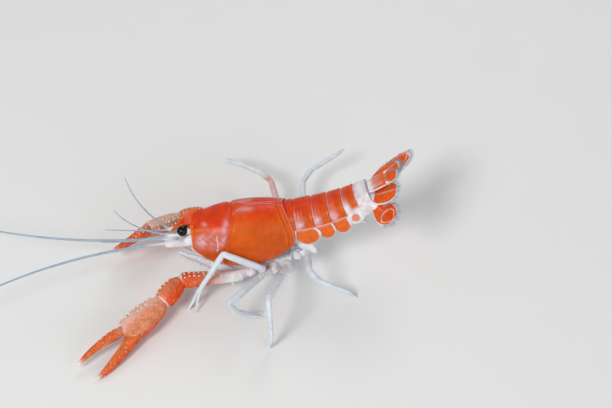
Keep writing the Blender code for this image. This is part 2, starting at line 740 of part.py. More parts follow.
def make_arm(word):
    """A cheliped: arm, wrist piece, palm with its fixed finger, and the moving finger."""
    sign = -1 if word == "left" else 1
    plan = ARM_JOINTS[word]
    scale = plan["scale"]
    ischium, elbow, wrist, knuckle = (
        Vector(plan[key]) for key in ("ischium", "elbow", "wrist", "knuckle")
    )
    mesial = Vector(plan["mesial"])
    hip = hip_point(1, sign)
    out = (at_body(0, sign, 0) - at_body(0, 0, 0)).normalized()
    square = halfway(ischium, elbow, wrist)
    level = halfway(elbow, wrist, knuckle)
    arm = [
        (hip, 1.75, 1.75),
        (hip + out * 1.6, 1.8, 1.8),
        (hip.lerp(ischium, 0.6), 1.8 * scale, 1.7 * scale),
        (ischium, 2.1 * scale, 1.8 * scale),
        (ischium.lerp(elbow, 0.35), 2.3 * scale, 2.1 * scale),
        (ischium.lerp(elbow, 0.72), 2.7 * scale, 2.4 * scale),
        (elbow.lerp(ischium, 0.14), 2.8 * scale, 2.4 * scale),
        (elbow - square * GAP / 2, 2.0 * scale, 1.8 * scale),
    ]
    upward = Vector((0, 0, 1))
    merus = limb(f"claw_{word}_arm", arm, "claw_salmon", mesial, 10, facing=(out, square))
    spines = spine_row(arm[4], arm[6], upward, 0, 4, 1.2, 0.45)
    spines += spine_row(arm[4], arm[6], upward, 150, 3, 1.2, 0.45)
    spines += spine_row(arm[4], arm[6], upward, 210, 3, 1.2, 0.45)
    fuse(merus, spines)
    carpus = [
        (elbow + square * GAP / 2, 2.0 * scale, 1.8 * scale),
        (elbow.lerp(wrist, 0.22), 3.2 * scale, 2.7 * scale),
        (elbow.lerp(wrist, 0.62), 3.9 * scale, 3.2 * scale),
        (elbow.lerp(wrist, 0.92), 3.4 * scale, 2.9 * scale),
        (wrist - level * GAP / 2, 2.6 * scale, 2.2 * scale),
    ]
    ends = (square, level)
    hand = limb(f"claw_{word}_wrist", carpus, "claw_salmon", mesial, 12, facing=ends)
    spines = spine_row(carpus[1], carpus[3], mesial, 0, 3, 1.7, 0.55)
    spines += spine_row(carpus[1], carpus[3], mesial, sign * 45, 3, 1.2, 0.5)
    fuse(hand, spines)
    make_palm(word, wrist, knuckle, level, scale)


def make_palm(word, wrist, knuckle, level, scale):
    """The palm widens to the knuckle, then the fixed finger runs on along its outer side."""
    plan = ARM_JOINTS[word]
    fixed_tip = Vector(plan["fixed_tip"])
    moving_tip = Vector(plan["moving_tip"])
    along = (knuckle - wrist).normalized()
    mesial = Vector(plan["mesial"])
    mesial = (mesial - mesial.dot(along) * along).normalized()
    palm = [
        (wrist + level * GAP / 2, 2.5 * scale, 2.1 * scale),
        (wrist.lerp(knuckle, 0.12), 3.9 * scale, 2.9 * scale),
        (wrist.lerp(knuckle, 0.45), 4.7 * scale, 3.3 * scale),
        (wrist.lerp(knuckle, 0.85), 5.0 * scale, 3.2 * scale),
        (knuckle - mesial * 0.6 * scale, 4.3 * scale, 2.9 * scale),
        (knuckle.lerp(fixed_tip, 0.14) - mesial * 2.4 * scale, 2.3 * scale, 2.3 * scale),
        (knuckle.lerp(fixed_tip, 0.45) - mesial * 1.9 * scale, 1.9 * scale, 1.6 * scale),
        (knuckle.lerp(fixed_tip, 0.8) - mesial * 0.9 * scale, 1.2 * scale, 1.1 * scale),
        (fixed_tip, 0.45, 0.45),
    ]
    sign = -1 if word == "left" else 1
    hand = limb(f"claw_{word}_palm", palm, "claw_salmon", mesial, 12, facing=(level, None))
    spines = spine_row(palm[1], palm[3], mesial, 0, 6, 1.5, 0.6)
    spines += spine_row(palm[1], palm[3], mesial, sign * 38, 5, 1.2, 0.5)
    spines += spine_row(palm[1], palm[3], mesial, -sign * 38, 5, 1.2, 0.5)
    fuse(hand, spines)
    slope = (along * 0.85 + mesial * 0.53).normalized()
    hinge = knuckle + (mesial * 2.2 + along * 2.6) * scale + slope * GAP * 1.5
    arch = mesial * 0.8 * scale
    dactyl = [
        (hinge, 1.9 * scale, 1.8 * scale),
        (hinge.lerp(moving_tip, 0.16) + arch * 0.4, 1.9 * scale, 1.8 * scale),
        (hinge.lerp(moving_tip, 0.45) + arch, 1.5 * scale, 1.5 * scale),
        (hinge.lerp(moving_tip, 0.72) + arch, 1.15 * scale, 1.05 * scale),
        (hinge.lerp(moving_tip, 0.9) + arch * 0.6, 0.85 * scale, 0.8 * scale),
        (moving_tip, 0.42, 0.42),
    ]
    limb(f"claw_{word}_dactyl", dactyl, "claw_salmon", side=mesial, sides=10, facing=(slope, None))


def make_eyes():
    ahead = (at_body(-1, 0, 0) - at_body(0, 0, 0)).normalized()
    for sign, word in ((-1, "left"), (1, "right")):
        centre = at_body(EYE_AT[0], sign * EYE_AT[1], EYE_AT[2])
        root = at_body(FACE_U - GAP, sign * 2.4, 3.7)
        neck = centre - (centre - root).normalized() * (EYE_RADIUS + GAP)
        stalk = [
            (root, 0.85, 0.85),
            (root.lerp(neck, 0.5), 0.95, 0.95),
            (neck, 1.15, 1.15),
        ]
        limb(f"eyestalk_{word}", stalk, "limb_white", sides=8, facing=(ahead, None))
        ball = bmesh.new()
        bmesh.ops.create_uvsphere(ball, u_segments=12, v_segments=8, radius=EYE_RADIUS)
        bmesh.ops.translate(ball, verts=ball.verts[:], vec=centre)
        finish_mesh(ball, f"eye_{word}", "eye_black", centre)


def bend(knots, count):
    """Points along the smooth bend that starts at the first knot and ends at the last."""
    points = []
    for step in range(count + 1):
        level = [Vector(knot) for knot in knots]
        while len(level) > 1:
            level = [a.lerp(b, step / count) for a, b in zip(level, level[1:])]
        points.append(level[0])
    return points


def feeler(name, points, thick, fine):
    """A feeler as a round curve that tapers from thick to fine, made a mesh with its caps welded."""
    line = bpy.data.curves.new(name, "CURVE")
    line.dimensions = "3D"
    line.bevel_depth = thick * MM
    line.bevel_resolution = 1
    line.use_fill_caps = True
    spline = line.splines.new("POLY")
    spline.points.add(len(points) - 1)
    for i, point in enumerate(points):
        spline.points[i].co = (*((point - points[0]) * MM), 1.0)
        spline.points[i].radius = 1 - (1 - fine / thick) * i / (len(points) - 1)
    guide = bpy.data.objects.new(name, line)
    crayfish.objects.link(guide)
    bpy.context.view_layer.update()
    graph = bpy.context.evaluated_depsgraph_get()
    mesh = bpy.data.meshes.new_from_object(guide.evaluated_get(graph))
    bpy.data.objects.remove(guide, do_unlink=True)
    builder = bmesh.new()
    builder.from_mesh(mesh)
    bmesh.ops.remove_doubles(builder, verts=builder.verts[:], dist=0.000001)
    bmesh.ops.recalc_face_normals(builder, faces=builder.faces[:])
    bmesh.ops.triangulate(builder, faces=builder.faces[:])
    builder.to_mesh(mesh)
    builder.free()
    mesh.materials.clear()
    mesh.materials.append(materials["feeler_grey"])
    mesh.shade_smooth()
    made = bpy.data.objects.new(name, mesh)
    made.location = (points[0] - FOOTPRINT_CENTRE) * MM
    crayfish.objects.link(made)
    made.parent = stand_point
    return made


def make_feelers():
    ahead = (at_body(-1, 0, 0) - at_body(0, 0, 0)).normalized()
    for sign, word in ((-1, "left"), (1, "right")):
        root = at_body(FACE_U - GAP, sign * 3.2, -0.6)
        end = Vector(ANTENNAE[word][0])
        elbow = root.lerp(end, 0.6)
        stalk = [
            (root, 1.45, 1.4),
            (root.lerp(elbow, 0.55), 1.65, 1.5),
            (elbow, 1.6, 1.4),
            (end, 0.95, 0.95),
        ]
        base = limb(f"antenna_base_{word}", stalk, "limb_white", sides=8, facing=(ahead, None))
        plate = [
            (at_body(-33.9, sign * 4.4, 0.3), 0.9, 0.5),
            (at_body(-36.4, sign * 5.5, 1.2), 1.6, 0.45),
            (at_body(-39.8, sign * 5.4, 1.3), 1.4, 0.42),
            (at_body(-42.8, sign * 5.0, 1.0), 0.5, 0.35),
        ]
        plate_side = at_body(0, sign, -0.5) - at_body(0, 0, 0)
        fuse(base, [limb("scale", plate, "limb_white", side=plate_side, sides=6)])
        points = bend(ANTENNAE[word], 24)
        points[0] = points[0] + (points[1] - points[0]).normalized() * GAP * 1.2
        feeler(f"antenna_{word}", points, ANTENNA_RADIUS, ANTENNA_TIP_RADIUS)
        root = at_body(FACE_U - GAP, sign * 1.25, 2.3)
        end = at_body(-41.2, sign * 1.9, 3.3)
        stalk = [(root, 0.95, 0.95), (root.lerp(end, 0.6), 1.0, 0.9), (end, 0.7, 0.65)]
        base = limb(f"antennule_{word}", stalk, "limb_white", sides=8, facing=(ahead, None))
        whips = []
        for number, knots in enumerate(WHIPS[word]):
            start = root.lerp(end, 0.96) + at_body(0, 0.3 - 0.6 * number, 0) - at_body(0, 0, 0)
            points = bend([start] + list(knots), 10)
            whips.append(feeler("whip", points, 0.34, 0.25))
        fuse(base, whips)


def make_mouthparts():
    for sign, word in ((-1, "left"), (1, "right")):
        plan = (
            (-20.6, 4.5, -13.2, 1.1, 0.9),
            (-23.0, 4.2, -12.2, 1.5, 1.0),
            (-27.5, 4.0, -10.1, 1.5, 1.0),
            (-31.0, 3.4, -8.0, 1.2, 0.9),
            (-35.0, 2.9, -5.9, 1.0, 0.8),
            (-38.4, 2.4, -4.0, 0.6, 0.5),
        )
        stations = [(at_body(u, sign * v, w), wide, thin) for u, v, w, wide, thin in plan]
        side = at_body(0, 0, 1) - at_body(0, 0, 0)
        limb(f"maxilliped_{word}", stations, "limb_white", side=side, sides=8)


clear_scene()
body = Matrix.Translation(BODY_CENTRE) @ turned_frame(BODY_YAW, BODY_PITCH, BODY_ROLL)
crayfish = make_collection("red_swamp_crayfish")
joining = make_collection("joining", hidden=True)
materials = make_materials()
stand_point = bpy.data.objects.new("stand_point", None)
crayfish.objects.link(stand_point)

make_head()
make_thorax()
make_underside()
make_abdomen()
make_tail_fan()
for side_word in ("left", "right"):
    for leg_number in LEG_LENGTHS:
        make_leg(side_word, leg_number)
    make_arm(side_word)
make_eyes()
make_feelers()
make_mouthparts()
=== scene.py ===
"""A red swamp crayfish, Procambarus clarkii, dressed as a still life-size museum model.

Shapes are worked out in millimetres where the animal walks, and are moved to the frame when a
piece is made. The body frame has u along the body to the tail, v to the animal's right and w
out of its back.
"""

import math

import bpy
import numpy as np
from mathutils import Euler, Matrix, Vector


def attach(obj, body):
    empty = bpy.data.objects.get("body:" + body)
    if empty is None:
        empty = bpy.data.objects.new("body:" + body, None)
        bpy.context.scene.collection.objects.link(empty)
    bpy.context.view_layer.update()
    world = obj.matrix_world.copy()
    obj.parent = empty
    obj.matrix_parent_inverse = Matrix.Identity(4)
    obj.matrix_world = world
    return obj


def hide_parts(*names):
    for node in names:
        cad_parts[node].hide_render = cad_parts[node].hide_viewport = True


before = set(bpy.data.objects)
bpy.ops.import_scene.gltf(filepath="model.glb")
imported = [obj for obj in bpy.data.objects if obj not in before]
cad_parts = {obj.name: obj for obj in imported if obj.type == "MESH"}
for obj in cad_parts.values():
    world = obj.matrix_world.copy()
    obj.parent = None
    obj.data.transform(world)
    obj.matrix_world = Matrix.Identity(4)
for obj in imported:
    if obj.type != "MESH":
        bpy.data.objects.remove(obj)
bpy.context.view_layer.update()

bl_info = {
    "name": "Red Swamp Crayfish",
    "version": (1, 0, 0),
    "blender": (4, 5, 0),
    "location": "View3D > Sidebar > Crayfish",
    "description": "Dresses a life-size red swamp crayfish in its walking pose",
    "category": "Object",
}

MM = 0.001
SIDES = (("left", -1), ("right", 1))
FOOTPRINT_CENTRE = np.array((-49.12, -3.09, 0.0))
BODY_CENTRE = np.array((-7.5, 1.8, 19.5))
BODY_YAW, BODY_PITCH, BODY_ROLL = 6.0, 3.5, 15.0

# The shield along u: half-width, height of the back and depth of the belly side.
SHIELD_STATIONS = (-34.0, -31.5, -28.0, -24.0, -18.5, -12.0, -5.0, 0.0, 3.2)
SHIELD_HALF_WIDTH = (5.9, 7.0, 8.5, 9.9, 10.7, 10.9, 10.1, 8.9, 8.3)
SHIELD_BACK = (7.6, 8.5, 9.6, 10.6, 11.3, 11.5, 11.0, 10.1, 9.4)
SHIELD_DEPTH = (3.6, 5.0, 7.6, 9.9, 11.1, 11.3, 9.9, 7.2, 5.0)
BACK_SQUARENESS, FLANK_SQUARENESS = 2.15, 2.7
GROOVE_BACK, GROOVE_SWEEP = -17.5, 6.6
REAR_FLANK, REAR_BELLY = 3.0, -7.0
FRONT_FLANK, FRONT_BELLY = -33.2, -25.6
FACE_U = -30.8
# Half the space between the two fine lines along the back, by u.
AREOLA_U = (-18.5, -16.5, -14.0, -12.2, -8.5, -4.5, 0.0, 3.0)
AREOLA_HALF = (4.2, 3.0, 1.2, 0.55, 0.4, 0.6, 1.5, 2.6)

# The beak: place along u, half-width, height of its top and thickness.
ROSTRUM = (
    (-27.0, 3.1, 9.2, 3.0),
    (-30.2, 3.6, 9.15, 2.6),
    (-32.0, 3.6, 8.95, 1.9),
    (-34.2, 3.05, 8.25, 1.3),
    (-36.0, 2.2, 7.35, 1.2),
    (-36.8, 1.45, 6.85, 1.1),
    (-38.4, 0.95, 5.65, 0.9),
    (-40.6, 0.18, 3.75, 0.35),
)

LEG_HALF_SPACE, REAR_HALF_SPACE = 4.5, 3.3
BELLY_W, REAR_BELLY_W = -15.0, -11.2
# The keel between the legs: place along u, half-width, roof and floor.
STERNUM = (
    (-27.0, 1.8, -8.6, -10.1),
    (-22.0, 2.6, -10.4, -12.6),
    (-17.6, 3.4, -11.8, -14.6),
    (-15.7, LEG_HALF_SPACE, -11.8, BELLY_W),
    (-5.0, LEG_HALF_SPACE, -10.8, BELLY_W),
    (0.4, LEG_HALF_SPACE, -10.4, BELLY_W),
    (1.7, REAR_HALF_SPACE, -6.6, REAR_BELLY_W),
    (5.0, REAR_HALF_SPACE, -6.8, REAR_BELLY_W),
    (5.8, 2.4, -7.2, -10.2),
)
SEAM_SPACE, SEAM_RISE = 3.95, 0.14

# Where each leg leaves the body: u, half the space between the pair and w. The claws are pair 1.
HIPS = {
    1: (-14.0, LEG_HALF_SPACE, -13.3),
    2: (-9.6, LEG_HALF_SPACE, -13.3),
    3: (-5.7, LEG_HALF_SPACE, -13.3),
    4: (-0.9, LEG_HALF_SPACE, -13.3),
    5: (3.4, REAR_HALF_SPACE, -9.6),
}
GAP = 0.34

ABDOMEN_START = (-1.2, 2.4)
AXIS_STATIONS = (0.0, 3.9, 10.2, 16.4, 22.4, 28.1, 33.6)
AXIS_TILTS = (2.0, 4.0, 7.0, 11.0, 17.0, 23.0, 27.0)
ABDOMEN_HALF_WIDTHS = (6.6, 7.4, 7.8, 7.6, 7.1, 6.5, 5.7)
ABDOMEN_HEIGHTS = (6.6, 6.7, 6.3, 6.0, 5.7, 5.3, 4.8)
# Where each back plate ends along the axis, and where the side lobe under it starts and ends.
SOMITE_ENDS = (0.0, 4.6, 11.3, 17.5, 23.4, 28.6, 33.6)
LOBES = ((0.6, 4.4), (4.0, 12.7), (12.3, 18.0), (18.0, 23.4), (23.4, 28.4), (28.4, 33.4))
PLEURON_DEPTHS = (4.2, 7.2, 6.6, 6.6, 5.2, 3.9)
PLEURON_EDGE, STERNUM_DEPTH, AXIS_STEP = 3.7, 3.0, 0.05
# Points round a somite: the arch, one side lobe, and its inner faces with the belly between.
ARCH_POINTS, LOBE_POINTS, BELLY_POINTS = 71, 12, 13
LOBE_INSETS, LOBE_RISES = np.array(((0.9, 0.86, 0.8, 0.74), (0.0, 0.25, 0.7, 1.0)))
SWIMMERET = ((0.0, 0.55), (0.35, 0.7), (0.7, 0.85), (1.0, 0.25))

# Half-widths of the fan plates from hinge to end, on their outer and inner sides.
FAN_SHAPES = {
    "telson": ((3.6, 4.2, 4.3, 4.2, 4.0, 3.9, 3.5, 2.0),) * 2,
    "inner": ((1.7, 3.0, 3.9, 4.4, 4.6, 4.5, 3.8, 2.3), (1.9, 3.1, 4.0, 4.5, 4.7, 4.5, 3.8, 2.3)),
    "outer": ((1.4, 2.5, 3.3, 3.9, 4.3, 4.2, 3.6, 2.0), (1.4, 2.6, 3.4, 4.0, 4.4, 4.3, 3.6, 2.0)),
}
# Hinge, end and roll of each plate, and its shape.
FAN_PLATES = {
    "telson": ((30.7, 0.0, 12.6), (41.2, 0.0, 16.9), 0, "telson"),
    "uropod_inner_left": ((31.4, -3.2, 10.1), (40.3, -6.8, 14.4), 20, "inner"),
    "uropod_inner_right": ((31.8, 3.4, 11.0), (42.4, 6.8, 16.2), -6, "inner"),
    "uropod_outer_left": ((32.2, -5.0, 7.9), (37.8, -13.2, 6.2), 34, "outer"),
    "uropod_outer_right": ((32.4, 5.4, 9.7), (46.9, 11.6, 16.6), -8, "outer"),
}
FAN_ROWS, FAN_COLUMNS = 64, 61
TELSON_SPINES, FAN_HUB = (39, 30), (40, 30)
FRINGE_DENSITY = 13

EYES = {"left": (-36.1, -4.1, 6.15), "right": (-35.6, 3.6, 4.15)}
EYE_RADIUS = 1.95
ANTENNAE = {
    "left": ((-50.0, -4.2, 17.0), (-78.0, -8.0, 17.0), (-104.0, -18.0, 17.0), (-131.0, -37.0, 14.0)),
    "right": ((-50.3, -2.6, 18.0), (-78.0, -5.6, 18.0), (-106.0, -2.6, 18.0), (-135.0, 8.0, 18.0)),
}
WHIPS = {
    "left": (((-61.0, -3.8, 23.4), (-67.0, -2.4, 33.2)), ((-60.0, -4.6, 18.0), (-72.0, -5.6, 19.4))),
    "right": (((-59.6, 1.2, 29.0), (-62.8, 4.6, 42.6)), ((-60.0, -1.0, 19.8), (-71.0, -1.7, 21.7))),
}
# The antennal scale: u, v, w and half-width.
SCALE = (
    (-33.6, 4.5, 0.5, 0.7),
    (-35.4, 5.2, 0.9, 1.35),
    (-37.6, 5.5, 1.3, 1.6),
    (-40.0, 5.4, 1.35, 1.45),
    (-41.8, 5.15, 1.15, 0.85),
    (-43.0, 5.0, 0.95, 0.18),
)

# Runs in the body frame: u, v, w, wide and thin radius.
FLAP = (
    (3.6, 4.4, -2.8, 1.6, 0.8),
    (6.4, 5.0, -5.6, 2.1, 0.8),
    (8.8, 5.2, -8.2, 1.5, 0.6),
    (9.8, 5.0, -9.6, 0.5, 0.3),
)
CHEEK = (
    (-31.0, 4.7, 2.6, 2.6, 1.5),
    (-33.4, 4.5, 1.9, 2.3, 1.4),
    (-35.2, 4.0, 1.4, 1.6, 1.1),
    (-36.4, 3.4, 1.1, 0.7, 0.6),
)
JAW = ((-30.6, 1.6, -4.2, 2.0, 1.5), (-32.6, 1.5, -3.6, 1.7, 1.3), (-34.2, 1.2, -3.0, 0.9, 0.7))
MAXILLIPED = (
    (-20.6, 4.5, -13.2, 1.1, 0.9),
    (-23.0, 4.2, -12.2, 1.5, 1.0),
    (-27.5, 4.0, -10.1, 1.55, 1.05),
    (-31.0, 3.4, -8.0, 1.25, 0.95),
    (-35.0, 2.9, -5.9, 1.0, 0.8),
    (-38.2, 2.4, -4.1, 0.5, 0.45),
)

# Runs between two points: share of the way, wide and thin radius, and a step to one side.
SPINE = ((0.0, 1.0, 1.0, -1.0), (0.35, 0.72, 0.72), (1.0, 0.12, 0.12))
STALK = (
    (0, 1.0, 1.0),
    (0.5, 1.1, 1.1),
    (1, 1.35, 1.35, -1.5),
    (1, 1.78, 1.78, -0.75),
    (1, 1.82, 1.82, -0.35),
)
PEDUNCLE = (
    ((0, 1.5, 1.4), (0.2, 1.8, 1.65), (0.5, 1.75, 1.6)),
    ((0.5, 1.35, 1.3), (0.75, 1.68, 1.5), (1, 1.6, 1.42)),
    ((0, 1.2, 1.15), (0.4, 1.42, 1.3), (1, 1.12, 1.08, -0.4), (1, 0.8, 0.8)),
)
ANTENNULE = ((0, 0.8, 0.8), (0.4, 1.0, 0.92), (1, 0.84, 0.8))
COXA = ((0, 1.15, 1.1, -0.6), (0, 1.25, 1.2, 0.7), (0, 1.12, 1.1, 1.9), (0.28, 0.86, 0.86, 1.2))
MERUS = (
    (0, 0.74, 0.7, -0.4),
    (0, 0.98, 0.84, 1.2),
    (0.5, 0.98, 0.84),
    (1, 0.9, 0.8, -2.2),
    (1, 0.86, 0.78, -0.5),
    (1, 0.62, 0.58, 0.15),
)
CARPUS = (
    (0, 0.62, 0.6, -0.5),
    (0, 0.95, 0.85, 0.5),
    (0.5, 1.02, 0.92),
    (1, 1.04, 0.92, -0.7),
    (1, 0.8, 0.74, 0.1),
)
PROPODUS = ((0, 0.78, 0.72, -0.3), (0, 1.02, 0.9, 0.9), (0.5, 1.06, 0.86), (1, 0.94, 0.78, -0.4))
CLAW_MERUS = (
    (-0.02, 1.9, 1.6),
    (0.08, 2.2, 1.9),
    (0.35, 2.35, 2.15),
    (0.72, 2.75, 2.45),
    (0.88, 2.9, 2.55),
    (0.96, 2.7, 2.3),
    (1.0, 2.0, 1.8),
)
CLAW_CARPUS = (
    (-0.08, 1.6, 1.45),
    (0.02, 2.2, 1.95),
    (0.2, 3.25, 2.75),
    (0.6, 3.95, 3.25),
    (0.85, 3.75, 3.1),
    (0.97, 3.0, 2.6),
    (1.03, 2.3, 2.0),
)
PALM = (
    (-0.03, 2.1, 1.8),
    (0.05, 3.1, 2.5),
    (0.16, 4.05, 3.0),
    (0.42, 4.75, 3.35),
    (0.7, 5.05, 3.35),
    (0.9, 4.85, 3.1),
    (1.0, 4.3, 2.75, -0.5),
    (1.06, 3.4, 2.2, -0.5),
)
FIXED_FINGER = (
    (0.1, 2.45, 2.3, -2.35),
    (0.3, 2.1, 1.95, -2.2),
    (0.55, 1.75, 1.5, -1.7),
    (0.8, 1.2, 1.05, -0.95),
    (0.94, 0.72, 0.66, -0.25),
)
MOVING_FINGER = (
    (0.12, 2.0, 1.85, 0.24),
    (0.42, 1.6, 1.5, 0.76),
    (0.7, 1.2, 1.1, 0.8),
    (0.9, 0.82, 0.76, 0.48),
)
FINGER_TIP_RADIUS = 0.26

# Walking legs: lengths of hip, merus, carpus, propodus and dactyl, and their heading and climb.
LEG_LENGTHS = {
    2: (7.0, 16.5, 9.2, 10.8, 6.6),
    3: (10.6, 19.4, 7.0, 11.0, 4.6),
    4: (10.6, 19.6, 6.8, 11.6, 4.4),
    5: (4.0, 12.0, 6.8, 12.8, 4.2),
}
LEG_RADII = (1.55, 1.4, 1.12, 0.92, 0.7)
FINGER_SPREAD = {"left_2": 3.0, "left_3": -2.4, "right_2": -2.4, "right_3": 2.4}
FOOT_RADIUS = 0.45
RAISED_LEGS, FLUSHED_LEG = ("right_3", "right_4"), "right_3"
LEG_POSES = {
    "left_2": ((-91.5, 47.7), (184.3, 35.2), (-146, -53), (-162, -60), (-133, -49)),
    "left_3": ((-122, 18), (-122, 18), (39, -67), (39, -49), (37, -19)),
    "left_4": ((-101, 28), (-104, 28), (-83, -65), (-76, -79), (-164, -76)),
    "left_5": ((-15, 22), (-87, 18), (2, -60), (0, -33), (12, -52)),
    "right_2": ((95, -4), (144, 63), (112, -60), (128, -50), (132, -42)),
    "right_3": ((64, 10), (106, 14), (129, -12), (147, -5), (145, -13)),
    "right_4": ((47, 13), (92, 9), (62, -1), (31, 11), (51, -11)),
    "right_5": ((53, 22), (50, 32), (60, -55), (45, -50), (40, -45)),
}

# Chelipeds: joints from the end of the ischium to the finger tips, and the way to the mesial side.
ARM_JOINTS = {
    "left": {
        "ischium": (-24.0, -10.9, 7.1),
        "elbow": (-44.6, -14.7, 9.0),
        "wrist": (-50.6, -23.2, 7.8),
        "knuckle": (-62.0, -34.6, 5.4),
        "fixed_tip": (-72.2, -51.3, 0.9),
        "moving_tip": (-78.7, -47.2, 2.9),
        "mesial": (-0.78, 0.48, 0.40),
    },
    "right": {
        "ischium": (-22.0, 10.0, 4.4),
        "elbow": (-38.0, 20.6, 4.6),
        "wrist": (-46.4, 16.8, 5.4),
        "knuckle": (-57.2, 8.2, 9.6),
        "fixed_tip": (-70.0, 0.8, 5.4),
        "moving_tip": (-70.2, -1.4, 8.6),
        "mesial": (0.41, -0.42, 0.81),
    },
}
ARM_SCALES = {"left": 1.0, "right": 0.92}

# The shared shader groups' own inputs, and for each finish their values, the strength and
# distance of its bump and the weight of its clear coat.
GROUP_INPUTS = {
    "colour": ("Cloud Scale", "Dark", "Light", "Freckle Scale", "Freckle Strength"),
    "relief": ("Pit Scale", "Pit Depth", "Grain Scale"),
    "gloss": ("Smooth", "Rough"),
}
FINISHES = {
    "shield": ((330, 0.84, 1.1, 2600, 0.05), (900, 0.5, 2200), (0.34, 0.5), (0.35, 0.00006), 0.12),
    "tail": ((420, 0.82, 1.1, 2400, 0.08), (1100, 0.4, 2400), (0.36, 0.52), (0.4, 0.00006), 0.12),
    "fan": ((520, 0.8, 1.12, 2200, 0.08), (1400, 0.3, 3200), (0.38, 0.52), (0.4, 0.00006), 0.08),
    "claw": ((480, 0.78, 1.14, 1500, 0.35), (800, 0.6, 1500), (0.4, 0.56), (0.55, 0.0001), 0.06),
    "limb": ((500, 0.88, 1.05, 2400, 0.1), (1600, 0.3, 2600), (0.36, 0.5), (0.35, 0.00005), 0.1),
    "skin": ((500, 0.84, 1.06, 2200, 0.1), (1500, 0.3, 2000), (0.32, 0.48), (0.4, 0.00006), 0.15),
    "feeler": ((260, 0.84, 1.1, 2600, 0.05), (2600, 0.2, 4200), (0.3, 0.45), (0.3, 0.00004), 0.15),
    "tubercle": ((700, 0.9, 1.05, 2600, 0.05), (2600, 0.2, 4200), (0.28, 0.4), (0.2, 0.00003), 0.2),
    "setae": ((600, 0.8, 1.1, 2600, 0.0), (2600, 0.1, 4200), (0.45, 0.6), (0.1, 0.00002), 0.0),
    "eye": ((900, 0.7, 1.2, 9000, 0.0), (6000, 0.15, 9000), (0.08, 0.14), (0.12, 0.00002), 0.25),
}
EYE_TONE = (7, 6, 7)

CAMERA_AIM = (0.04912, 0.03147, 0.0)
LIGHT_AIM = (0.02, 0.0, 0.02)
# Lamps: place, width, share of the key power and tone.
LIGHTS = {
    "key_light": ((-0.4, -0.55, 0.75), 0.35, 1.0, (1.0, 0.99, 0.97)),
    "fill_light": ((0.6, -0.7, 0.45), 0.6, 0.4, (0.96, 0.98, 1.0)),
    "rear_light": ((0.2, 0.7, 0.6), 0.4, 0.3, (1.0, 1.0, 1.0)),
}
FLOOR_REACH = 3.0

materials = {}
groups = {}


def linear(*levels):
    """A display colour of 0 to 255 as scene values."""
    shares = [level / 255 for level in levels]
    return tuple(((x + 0.055) / 1.055) ** 2.4 if x > 0.04045 else x / 12.92 for x in shares)


def paint(name, description, *levels):
    """A colour property whose default is given as a display colour."""
    return bpy.props.FloatVectorProperty(
        name=name,
        description=description,
        subtype="COLOR",
        size=3,
        min=0.0,
        max=1.0,
        default=linear(*levels),
    )


def length(name, description, default, high):
    """A length property whose default and greatest value are given in millimetres."""
    return bpy.props.FloatProperty(
        name=name,
        description=description,
        default=default * MM,
        min=0.0,
        max=high * MM,
        precision=5,
        unit="LENGTH",
    )


class CrayfishColours(bpy.types.PropertyGroup):
    """The colours of the living animal."""

    back: paint("Back", "Top of the shield", 222, 58, 0)
    flank: paint("Flank", "Sides of the shield", 208, 82, 0)
    margin: paint("Margin", "Lower and front edges of the shield", 236, 110, 22)
    lilac: paint("Lilac", "Cloudy patches on the cheeks and the flanks of the tail", 222, 188, 200)
    cream: paint("Cream", "Face, belly and the skin between plates", 234, 234, 238)
    tergum: paint("Tergum", "Lower part of the tail's back plates", 214, 84, 6)
    pleuron: paint("Pleuron", "Side lobes of the tail", 232, 104, 30)
    fan: paint("Fan", "Plates of the tail fan", 226, 84, 14)
    salmon: paint("Salmon", "Palms of the claws", 220, 134, 92)
    claw: paint("Claw", "Outer edges of the claws and the wrists", 226, 76, 6)
    finger: paint("Finger", "Fingers of the claws", 220, 104, 44)
    limb: paint("Limb", "Walking legs", 222, 230, 238)
    feeler: paint("Feeler", "Antennae and antennules", 168, 184, 200)
    setae: paint("Setae", "Fringes of the tail fan and the mouthparts", 172, 188, 204)
    tubercle: paint("Tubercle", "Tubercles and spines", 246, 236, 226)


class CrayfishSizes(bpy.types.PropertyGroup):
    """Sizes of the fine parts and of the stage."""

    fringe: length("Fringe", "Length of the fan's fringe", 2.1, 6.0)
    bristle: length("Bristle", "Thickness of one bristle", 0.06, 0.3)
    tubercle: length("Tubercle", "Radius of a palm tubercle", 0.42, 1.0)
    ring_pitch: length("Ring pitch", "Length of one ring of an antenna", 0.62, 2.0)
    seed: bpy.props.IntProperty(name="Seed", description="Seed of the scattered parts", default=7)
    elevation: bpy.props.FloatProperty(
        name="Elevation",
        description="How far the camera looks down",
        default=math.radians(50),
        subtype="ANGLE",
    )
    distance: bpy.props.FloatProperty(
        name="Distance",
        description="From the camera to the floor under the animal",
        default=0.6375,
        unit="LENGTH",
    )
    key_power: bpy.props.FloatProperty(
        name="Key light", description="Power of the main lamp", default=5.4, unit="POWER"
    )


def colour(name):
    return np.array(getattr(bpy.context.scene.crayfish_colours, name))


def millimetres(name):
    return getattr(bpy.context.scene.crayfish_sizes, name) / MM


def chances(step):
    """The random numbers of one scattered piece."""
    return np.random.default_rng(bpy.context.scene.crayfish_sizes.seed + step)


def soft(x, low, high):
    """0 before low and 1 after high, with a smooth step between; low may be the greater."""
    t = np.clip((x - low) / (high - low), 0, 1)
    return t * t * (3 - 2 * t)


def hump(x, centre, width):
    return np.exp(-(((x - centre) / width) ** 2))


def window(x, low, high, edge):
    return soft(x, low, low + edge) * soft(x, high, high - edge)


def mottle(x, y):
    """Uneven blotches between 0 and 1."""
    wave = np.sin(2.3 * x + 1.7 * np.sin(1.9 * y)) + np.sin(2.9 * y + 1.4 * np.sin(2.2 * x) + 1.0)
    fine = np.sin(6.1 * x + 2.0 * np.sin(5.3 * y)) * np.sin(5.7 * y + 1.5 * np.sin(6.3 * x))
    return np.clip(0.5 + 0.22 * wave + 0.3 * fine, 0, 1)


